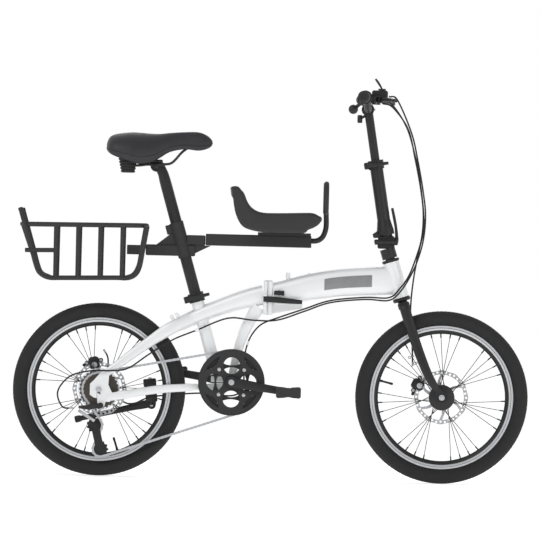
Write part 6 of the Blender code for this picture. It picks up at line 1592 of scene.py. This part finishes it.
def side_tube(side):
    """One bent tube: down the slanted rear, along the bottom and up the front of the basket."""
    route = [(-0.744, 0.777), (-0.727, 0.72), (-0.71, 0.663), (-0.695, 0.612), (-0.683, 0.591),
             (-0.658, 0.579), (-0.62, 0.579), (-0.54, 0.581), (-0.46, 0.583), (-0.429, 0.583),
             (-0.407, 0.594), (-0.395, 0.618), (-0.387, 0.665), (-0.379, 0.715), (-0.3755, 0.737)]
    points = []
    for x, z in route:
        share = min(1.0, max(0.0, (z - 0.585) / 0.15))
        points.append((x, side * (0.108 + 0.02 * share), z))
    return rod(points, WIRE_R * 1.08, 3)


def basket(mover):
    """A tubular basket: a top hoop, two bent side tubes, uprights and cross bars, with end caps."""
    x_rear, x_front = -0.74, -0.376
    half, low_half = BASKET_HALF_W, 0.108
    parts = [side_tube(1), side_tube(-1)]
    for side in (1, -1):
        for x in (-0.639, -0.574, -0.509, -0.444):
            parts.append(rod([(x, side * (half - 0.0005), 0.737), (x, side * (low_half + 0.0005),
                                                                   0.582)],
                             WIRE_R, 4))
        parts.append(rod([(-0.729, side * 0.12, 0.658), (-0.64, side * 0.123, 0.66)], WIRE_R, 4))
        parts.append(turned([(0, -0.005), (0.0068, -0.004), (0.0076, 0.0), (0.0068, 0.005),
                             (0, 0.0068)],
                            (-0.744, side * 0.128, 0.777), (-0.28, 0, 0.96), 5))
    for y in (-0.07, 0.0, 0.07):
        parts.append(rod([(x_front - 0.001, y, 0.738), (-0.39, y, 0.65), (-0.398, y, 0.615),
                          (-0.412, y, 0.593), (-0.435, y, 0.5835)], WIRE_R * 0.95, 4))
        parts.append(rod([(x_rear + 0.001, y, 0.7345), (-0.695, y, 0.613), (-0.683, y, 0.592),
                          (-0.656, y, 0.58)], WIRE_R * 0.95, 4))
    parts.append(rod([(-0.71, -0.118, 0.658), (-0.71, 0.118, 0.658)], WIRE_R * 0.9, 4))
    for x, z in ((-0.654, 0.579), (-0.542, 0.5815), (-0.434, 0.5835)):
        parts.append(rod([(x, -low_half, z), (x, low_half, z)], WIRE_R * 0.95, 4))
    for y in (-0.054, 0.054):
        parts.append(rod([(-0.656, y, 0.579), (-0.434, y, 0.5835)], WIRE_R * 0.8, 4))
    parts.append(block((-0.408, 0, 0.667), (0.048, 0.04, 0.028), (1, 0, 0), UP, 0.002, 2))
    hoop_points = hoop(x_rear, x_front, 0.7345, 0.7385, half, 0.05)
    add("basket", join(hoop_points, *parts), "matte_black", mover, 35, 0.0)


SEAT_HALF_W = 0.1


def child_seat(mover):
    """The padded seat on its base plate: a scooped cushion with a low back and a rolled front."""
    plate_top = FRONT_RAIL_Z[1] + 0.008
    outline = [(-0.125, 0.844), (-0.1265, 0.856), (-0.119, 0.8605), (-0.106, 0.859),
               (-0.096, 0.847), (-0.087, 0.827), (-0.074, 0.805), (-0.056, 0.79),
               (-0.034, 0.784), (0.0, 0.784), (0.036, 0.7855), (0.08, 0.7868), (0.108, 0.7862),
               (0.127, 0.7815), (0.1362, 0.769), (0.132, 0.756), (0.118, 0.7455), (0.1, 0.7375),
               (0.086, plate_top + GAP), (0.03, plate_top + GAP), (-0.03, plate_top + GAP),
               (-0.074, 0.7345), (-0.098, 0.748), (-0.114, 0.778), (-0.1215, 0.812)]
    closed = curve_through(outline + outline[:3], 3)[3:]
    closed = closed[:len(outline) * 3]
    rings = []
    round_r = 0.009
    edges = []
    for step in range(7):
        a = math.pi / 2 * step / 6
        edges.append((SEAT_HALF_W - round_r * (1 - math.sin(a)), round_r * (1 - math.cos(a))))
    middle = [(share * 0.0113, 0.0) for share in range(-7, 8)]
    rows = [(-y, inset) for y, inset in reversed(edges)] + middle + edges
    for y, inset in rows:
        points = []
        for k, (x, z) in enumerate(closed):
            before, after = closed[k - 2], closed[(k + 2) % len(closed)]
            dx, dz = after[0] - before[0], after[1] - before[1]
            scale = inset / max(math.hypot(dx, dz), 1e-9)
            upper = (z > 0.77 and x > -0.11) or z > 0.83
            scoop = 0.0
            if upper and abs(y) < SEAT_HALF_W:
                scoop = 0.008 * math.cos(math.pi * y / SEAT_HALF_W / 2) ** 0.5
            tilt = min(1.0, max(0.0, (x + 0.1) / 0.06))
            points.append(Vector((x + dz * scale - scoop * (1 - tilt) * 0.7, y,
                                  max(z - dx * scale - scoop * tilt, plate_top + GAP))))
        rings.append(points)
    cushion = add("child_seat", loft(rings), "seat_foam", mover, 60, 0.0)
    roll_line = [(-0.1165, 0.849), (-0.101, 0.837), (-0.09, 0.812), (-0.076, 0.793), (-0.056, 0.78),
                 (-0.032, 0.7745), (0.0, 0.774), (0.05, 0.7755), (0.09, 0.777), (0.112, 0.7765),
                 (0.1265, 0.769)]
    y = SEAT_HALF_W - 0.011
    near = [(x, -y, z) for x, z in roll_line]
    far = [(x, y, z) for x, z in reversed(roll_line)]
    front = [(0.129, -y * 0.6, 0.769), (0.1295, 0.0, 0.769), (0.129, y * 0.6, 0.769)]
    back = [(-0.118, y * 0.6, 0.85), (-0.118, 0.0, 0.85), (-0.118, -y * 0.6, 0.85)]
    path = near + front + far + back
    loop = [Vector(p) for p in curve_through(path + path[:2], 4)[:len(path) * 4]]
    roll = piece("child_seat_roll", rod(loop, 0.0102, 5, closed=True), "seat_foam", mover, 60)


# ---------------------------------------------------------------- cables
CABLE_R = 0.0024
FRONT_BRAKE_ROUTE = [
    (0.3, 0.113, 1.124), (0.335, 0.098, 1.118), (0.382, 0.062, 1.05),
    (0.409, 0.03, 0.966), (0.425, 0.013, 0.891), (0.438, 0.008, 0.799),
    (0.4385, 0.01, 0.74), (0.425, 0.023, 0.67), (0.413, 0.046, 0.59),
    (0.408, 0.062, 0.51), (0.414, 0.07, 0.43), (0.417, 0.071, 0.37),
    (0.418, 0.07, 0.343)]
REAR_BRAKE_ROUTE = [
    (0.308, -0.113, 1.113), (0.339, -0.096, 1.102), (0.386, -0.056, 1.04),
    (0.41, -0.022, 0.95), (0.429, -0.004, 0.86), (0.4375, 0.001, 0.79),
    (0.434, 0.0, 0.72), (0.418, -0.013, 0.66), (0.398, -0.034, 0.608),
    (0.372, -0.035, 0.57), (0.342, -0.016, 0.544), (0.272, -0.005, 0.543),
    (0.17, -0.005, 0.531), (0.095, -0.018, 0.505), (0.02, -0.02, 0.478),
    (-0.03, -0.006, 0.457), (-0.059, -0.004, 0.424), (-0.074, -0.003, 0.385),
    (-0.08, 0.006, 0.34), (-0.081, 0.022, 0.272), (-0.112, 0.026, 0.244),
    (-0.2, 0.024, 0.249), (-0.29, 0.0295, 0.242), (-0.356, 0.0305, 0.233),
    (-0.4, 0.048, 0.214), (-0.43, 0.072, 0.216), (-0.452, 0.08, 0.24),
    (-0.478, 0.083, 0.29), (-0.482, 0.082, 0.345), (-0.495, 0.0765, 0.37)]
GEAR_ROUTE = [
    (0.3268, -0.104, 1.134), (0.352, -0.096, 1.124), (0.396, -0.052, 1.03),
    (0.417, -0.024, 0.95), (0.435, -0.012, 0.86), (0.444, -0.006, 0.79),
    (0.44, -0.008, 0.72), (0.425, -0.022, 0.66), (0.405, -0.041, 0.612),
    (0.376, -0.041, 0.564), (0.342, -0.024, 0.536), (0.272, -0.011, 0.537),
    (0.17, -0.011, 0.525), (0.095, -0.024, 0.498), (0.015, -0.03, 0.47),
    (-0.055, -0.03, 0.468), (-0.13, -0.029, 0.472), (-0.22, -0.03, 0.435),
    (-0.29, -0.046, 0.405), (-0.36, -0.053, 0.36), (-0.42, -0.064, 0.318),
    (-0.47, -0.079, 0.31), (-0.53, -0.083, 0.308), (-0.59, -0.08, 0.29),
    (-0.624, -0.072, 0.245), (-0.61, -0.06, 0.201), (-0.578, -0.054, 0.1975)]


def housing(name, route, spans):
    """A cable split where it passes from one body to the next. Each span is its last route point
    and its body, or the two bodies that it runs between; such a span rides on neither body."""
    dense = curve_through(route, 6)
    start = 0
    for number, (last, bodies) in enumerate(spans):
        end = last * 6
        points = [Vector(p) for p in dense[start:end + 1]]
        tube = rod(points, CABLE_R, 3)
        if isinstance(bodies, str):
            obj = piece(f"{name}_{number}", tube, "cable_black", bodies)
        else:
            obj = piece(f"{name}_{number}", tube, "cable_black", None)
            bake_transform(obj)
        if number == 0:
            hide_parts(name)
        start = end
    tip = Vector(dense[-1])
    direction = (tip - Vector(dense[-4])).normalized()
    ferrule = rod([tip - direction * 0.012, tip - direction * 0.001], 0.0031, 4)
    last_body = spans[-1][1]
    piece(name + "_ferrule", ferrule, "steel", last_body if isinstance(last_body,
                                                                       str) else last_body[1])


def cables():
    """The brake and gear housings."""
    upper = [(3, ("bars", "handlepost")), (6, ("handlepost", "steering"))]
    housing("front_brake_cable", FRONT_BRAKE_ROUTE, [*upper, (12, "steering")])
    across_hinge = [(10, ("steering", "front_frame")), (13, "front_frame"),
                    (16, ("front_frame", "rear_frame"))]
    housing("rear_brake_cable", REAR_BRAKE_ROUTE, [*upper, *across_hinge, (29, "rear_frame")])
    housing("gear_cable", GEAR_ROUTE, [*upper, *across_hinge, (26, "rear_frame")])


# ---------------------------------------------------------------- small fittings
def headset(mover):
    """The two bearing cups of the head tube."""
    for name, low, high, radius in (("lower_cup", -0.0095, 0.0022, 0.0262),
                                    ("upper_cup", HEAD_LENGTH - 0.0022, HEAD_LENGTH + 0.007,
                                     0.0258)):
        profile = [(0.0176, low), (radius * 0.9, low), (radius, low + 0.003),
                   (radius, high - 0.003),
                   (radius * 0.94, high), (0.0176, high)]
        piece(name, turned(profile, HEAD_BASE, HEAD_UP, 16), "black_metal", mover, 35, 0.0003)


def bell(mover):
    """A small domed bell on a clamp below the right end of the bar."""
    centre = Vector((0.223, -0.1, 1.094))
    dome = turned([(0, -0.012), (0.006, -0.0115), (0.0105, -0.009), (0.0132, -0.0045), (0.014, 0.0),
                   (0.013, 0.0), (0.0, -0.008)], centre, SIDE, 14)
    foot = cylinder(at(centre, y=0.003), 0.011, 0.003, SIDE, 10)
    arm = beam([(*at(centre, y=0.004), 0.003, 0.006), (0.24, -0.096, 1.108, 0.004, 0.005),
                (0.256, -0.096, 1.119, 0.0045, 0.005)], 6)
    piece("bell_dome", dome, "black_metal", mover, 50)
    piece("bell_foot", join(foot, arm), "matte_black", mover)


def bar_clamp_lever(mover):
    """The small hand nut behind the bar clamp, and the clamp's two bolts."""
    spot = Vector((0.244, 0.0, 1.056))
    nut = turned([(0, 0.0), (0.006, 0.0), (0.0075, 0.003), (0.0075, 0.02), (0.0058, 0.0235),
                  (0, 0.0235)],
                 spot, UP, 8)
    stem = rod([at(spot, z=0.012), (0.264, 0.0, 1.08)], 0.004, 4)
    bolts = [bolt_head((0.286, side * 0.014, 1.096), (1, 0, 0), 0.0036, 0.003) for side in (1, -1)]
    piece("bar_clamp_nut", join(nut, stem), "black_metal", mover)
    piece("bar_clamp_bolts", join(*bolts), "steel", mover)


def frame_fittings(rear_mover, fork_mover):
    """Two bosses on the right stay, the mudguard eyes behind the fork and two cable guides."""
    bosses = []
    for x, z in ((-0.29, 0.464), (-0.276, 0.471)):
        bosses.append(turned([(0, 0.0), (0.0052, 0.0), (0.0052, 0.014), (0.004, 0.015),
                              (0.0022, 0.015),
                              (0.0022, 0.008), (0, 0.008)], (x, -0.024, z), (-0.45, 0, 0.89), 6))
    piece("stay_bosses", join(*bosses), "frame_white", rear_mover)
    eyes = []
    for x, z in ((0.408, 0.369), (0.4245, 0.352)):
        eyes.append(turned([(0.0024, -0.003), (0.005, -0.003), (0.005, 0.003), (0.0024, 0.003)],
                           (x, 0.048, z), SIDE, 6))
        eyes.append(rod([(x + 0.004, 0.048, z + 0.001), (x + 0.014, 0.048, z + 0.005)], 0.0022, 3))
    piece("fork_eyes", join(*eyes), "steel", fork_mover)
    guides = [turned([(0.0026, -0.006), (0.0042, -0.006), (0.0042, 0.006), (0.0026, 0.006)], spot,
                     axis, 5)
              for spot, axis in (((-0.069, -0.0035, 0.4), (-0.35, 0, -0.94)),
                                 ((-0.22, -0.03, 0.435), (-0.92, 0, -0.39)))]
    piece("cable_guides", join(*guides), "frame_white", rear_mover)


def post_hinge_cheeks(mover):
    """The cast shoulders that flare out from the foot of the handlepost over its hinge."""
    flare = turned([(0.0188, 0.008), (0.0255, 0.008), (0.025, 0.022), (0.0222, 0.036),
                    (0.0197, 0.05),
                    (0.0188, 0.05)], POST_BASE, POST_UP, 10)
    foot = POST_BASE + POST_UP * 0.008
    heel = beam([(*(foot - POST_FORWARD * 0.038 + POST_UP * 0.001), 0.008, 0.006),
                 (*(foot - POST_FORWARD * 0.022 + POST_UP * 0.004), 0.015, 0.011)], 6, 2.4)
    piece("post_shoulder", join(flare, heel), "black_metal", mover)


def chainring_bolts(mover):
    """The four bolts between the ring, the spider and the guard."""
    bolts = []
    for k in range(4):
        a = math.radians(45 + 90 * k)
        spot = at(BOTTOM_BRACKET, BOLT_CIRCLE_R * math.cos(a), -0.0551, BOLT_CIRCLE_R * math.sin(a))
        bolts.append(bolt_head(spot, -SIDE, 0.0052, 0.0018))
        bolts.append(cylinder(at(spot, y=0.006), 0.0042, 0.006, SIDE, 5))
    bolts.append(bolt_head(at(BOTTOM_BRACKET, y=-0.071), -SIDE, 0.0085, 0.003))
    piece("chainring_bolts", join(*bolts), "steel", mover)


def main_tube_band(mover):
    """A plain grey band on each flank of the main tube."""
    rows = [s for s in curve_through(MAIN_PATH, 10) if 0.15 <= s[0] <= 0.292]
    squareness = 2 / 2.8
    for name, middle in (("right_band", math.pi), ("left_band", 0.0)):
        skins = []
        for lift in (-0.0002, 0.0003):
            grid = []
            for x, _, z, half_w, half_h in rows:
                line = []
                for step in range(7):
                    a = middle + 0.3 * (step / 3 - 1)
                    c, s = math.cos(a), math.sin(a)
                    across = math.copysign(abs(c) ** squareness, c) * (half_w + lift)
                    upward = math.copysign(abs(s) ** squareness, s) * (half_h + lift)
                    line.append(Vector((x, across, z + upward)))
                grid.append(line)
            skins.append(grid)
        rings = [inner + list(reversed(outer)) for inner, outer in zip(*skins)]
        piece(name, loft(rings), "stripe_grey", mover)


# ---------------------------------------------------------------- the whole bicycle
def build():
    """Every piece, each on the body that it moves with."""
    rear_frame("rear_frame")
    frame_hinge("rear_frame", "latch_lever", "safety_catch")
    axle_with_nuts("rear_axle", REAR_AXLE, 0.0585, 0.0545, DROPOUT_Y, DROPOUT_Y, "rear_frame")
    rear_wheel("rear_wheel")
    freewheel("freewheel")
    front_frame("front_frame")
    main_tube_band("front_frame")
    headset("front_frame")
    fork("steering")
    stem_base("steering")
    axle_with_nuts("front_axle", FRONT_AXLE, 0.0465, 0.043, (0.0503, 0.0563), (0.0503, 0.0563),
                   "steering")
    front_wheel("front_wheel")
    handlepost("handlepost", "handlepost_latch", "post_clamp_lever")
    handlebar("bars")
    bell("bars")
    bar_clamp_lever("bars")
    controls("bars", "right_brake_lever", "left_brake_lever", "shift_lever")
    bottom_bracket("rear_frame")
    chainset("crank")
    chainring_bolts("crank")
    pedal("right_pedal", RIGHT_PEDAL, -1, "right_pedal")
    pedal("left_pedal", LEFT_PEDAL, 1, "left_pedal")
    derailleur("rear_frame", "derailleur_link", "derailleur_knuckle", "derailleur_cage",
               "guide_pulley",
               "tension_pulley")
    chain("rear_frame")
    caliper("rear_caliper", REAR_AXLE, REAR_CALIPER, REAR_ROTOR_Y, "rear_frame", "rear_caliper_arm")
    caliper("front_caliper", FRONT_AXLE, FRONT_CALIPER, FRONT_ROTOR_Y, "steering",
            "front_caliper_arm")
    kickstand("kickstand_leg")
    kickstand_clamp("rear_frame")
    frame_fittings("rear_frame", "steering")
    post_hinge_cheeks("handlepost")
    seat_clamp("rear_frame", "seat_clamp_lever")
    for part in (seatpost, saddle, carrier, basket, seat_mount, child_seat):
        part("seatpost")
    cables()


# ---------------------------------------------------------------- studio
VIEW_MIDDLE = Vector((-0.0097, 0.0, 0.6168))
VIEW_WIDTH = 1.59
VIEW_LENS = 600.0
FLOOR_HALF = 60.0
VIEW_ROLL = math.radians(1.41)     # the front wheel sits a little lower


def floor():
    """The plain white floor, which isn't part of the bicycle."""
    bm = bmesh.new()
    bmesh.ops.create_grid(bm, x_segments=40, y_segments=40, size=FLOOR_HALF)
    mesh = bpy.data.meshes.new("floor")
    bm.to_mesh(mesh)
    bm.free()
    mesh.materials.append(material("floor_white"))
    obj = bpy.data.objects.new("floor", mesh)
    bpy.context.scene.collection.objects.link(obj)


def world():
    """A studio with a white wall behind the bicycle and a dimmer side for its dark parts to mirror."""
    made = bpy.data.worlds.new("studio")
    bpy.context.scene.world = made
    made.use_nodes = True
    tree = made.node_tree
    place = tree.nodes.new("ShaderNodeTexCoord").outputs["Generated"]
    split = tree.nodes.new("ShaderNodeSeparateXYZ")
    tree.links.new(place, split.inputs["Vector"])
    height = tree.nodes.new("ShaderNodeMath")
    height.operation = "ABSOLUTE"
    tree.links.new(split.outputs["Z"], height.inputs[0])
    tone = stretch(tree, height.outputs["Value"], 0.1, 0.8, 1.0, 0.86)
    wall = stretch(tree, split.outputs["Y"], -0.3, 0.3, 0.42, 1.0)
    both = tree.nodes.new("ShaderNodeMath")
    both.operation = "MULTIPLY"
    tree.links.new(tone, both.inputs[0])
    tree.links.new(wall, both.inputs[1])
    tree.links.new(both.outputs["Value"], tree.nodes["Background"].inputs["Strength"])
    tree.nodes["Background"].inputs["Color"].default_value = (1.0, 1.0, 1.0, 1.0)


def softbox(name, place, target, size, power):
    light = bpy.data.lights.new(name, "AREA")
    light.shape = "RECTANGLE"
    light.size, light.size_y = size
    light.energy = power
    obj = bpy.data.objects.new(name, light)
    bpy.context.scene.collection.objects.link(obj)
    obj.location = place
    obj.rotation_euler = (Vector(target) - Vector(place)).to_track_quat("-Z", "Y").to_euler()


def camera():
    """A long lens square to the right side, rolled a little."""
    lens = bpy.data.cameras.new("camera")
    lens.lens = VIEW_LENS
    lens.sensor_width = 36.0
    distance = VIEW_WIDTH * VIEW_LENS / lens.sensor_width
    lens.clip_start = 1.0
    lens.clip_end = 200.0
    obj = bpy.data.objects.new("camera", lens)
    bpy.context.scene.collection.objects.link(obj)
    right = Vector((math.cos(VIEW_ROLL), 0, math.sin(VIEW_ROLL)))
    upward = Vector((-math.sin(VIEW_ROLL), 0, math.cos(VIEW_ROLL)))
    turn = Matrix((right, upward, right.cross(upward))).transposed().to_4x4()
    obj.matrix_world = Matrix.Translation(VIEW_MIDDLE - SIDE * distance) @ turn
    bpy.context.scene.camera = obj


def studio():
    floor()
    world()
    softbox("key", (-1.6, -2.6, 2.8), (0, 0, 0.5), (2.4, 1.6), 36)
    softbox("fill", (2.4, -2.0, 1.2), (0, 0, 0.5), (1.6, 1.6), 12)
    softbox("rim", (0.4, 2.4, 2.4), (0, 0, 0.6), (2.6, 1.0), 18)
    camera()
    bpy.context.scene.view_settings.view_transform = "Standard"


REAR_CALIPER = math.radians(103)
FRONT_CALIPER = math.radians(153)
build()
studio()
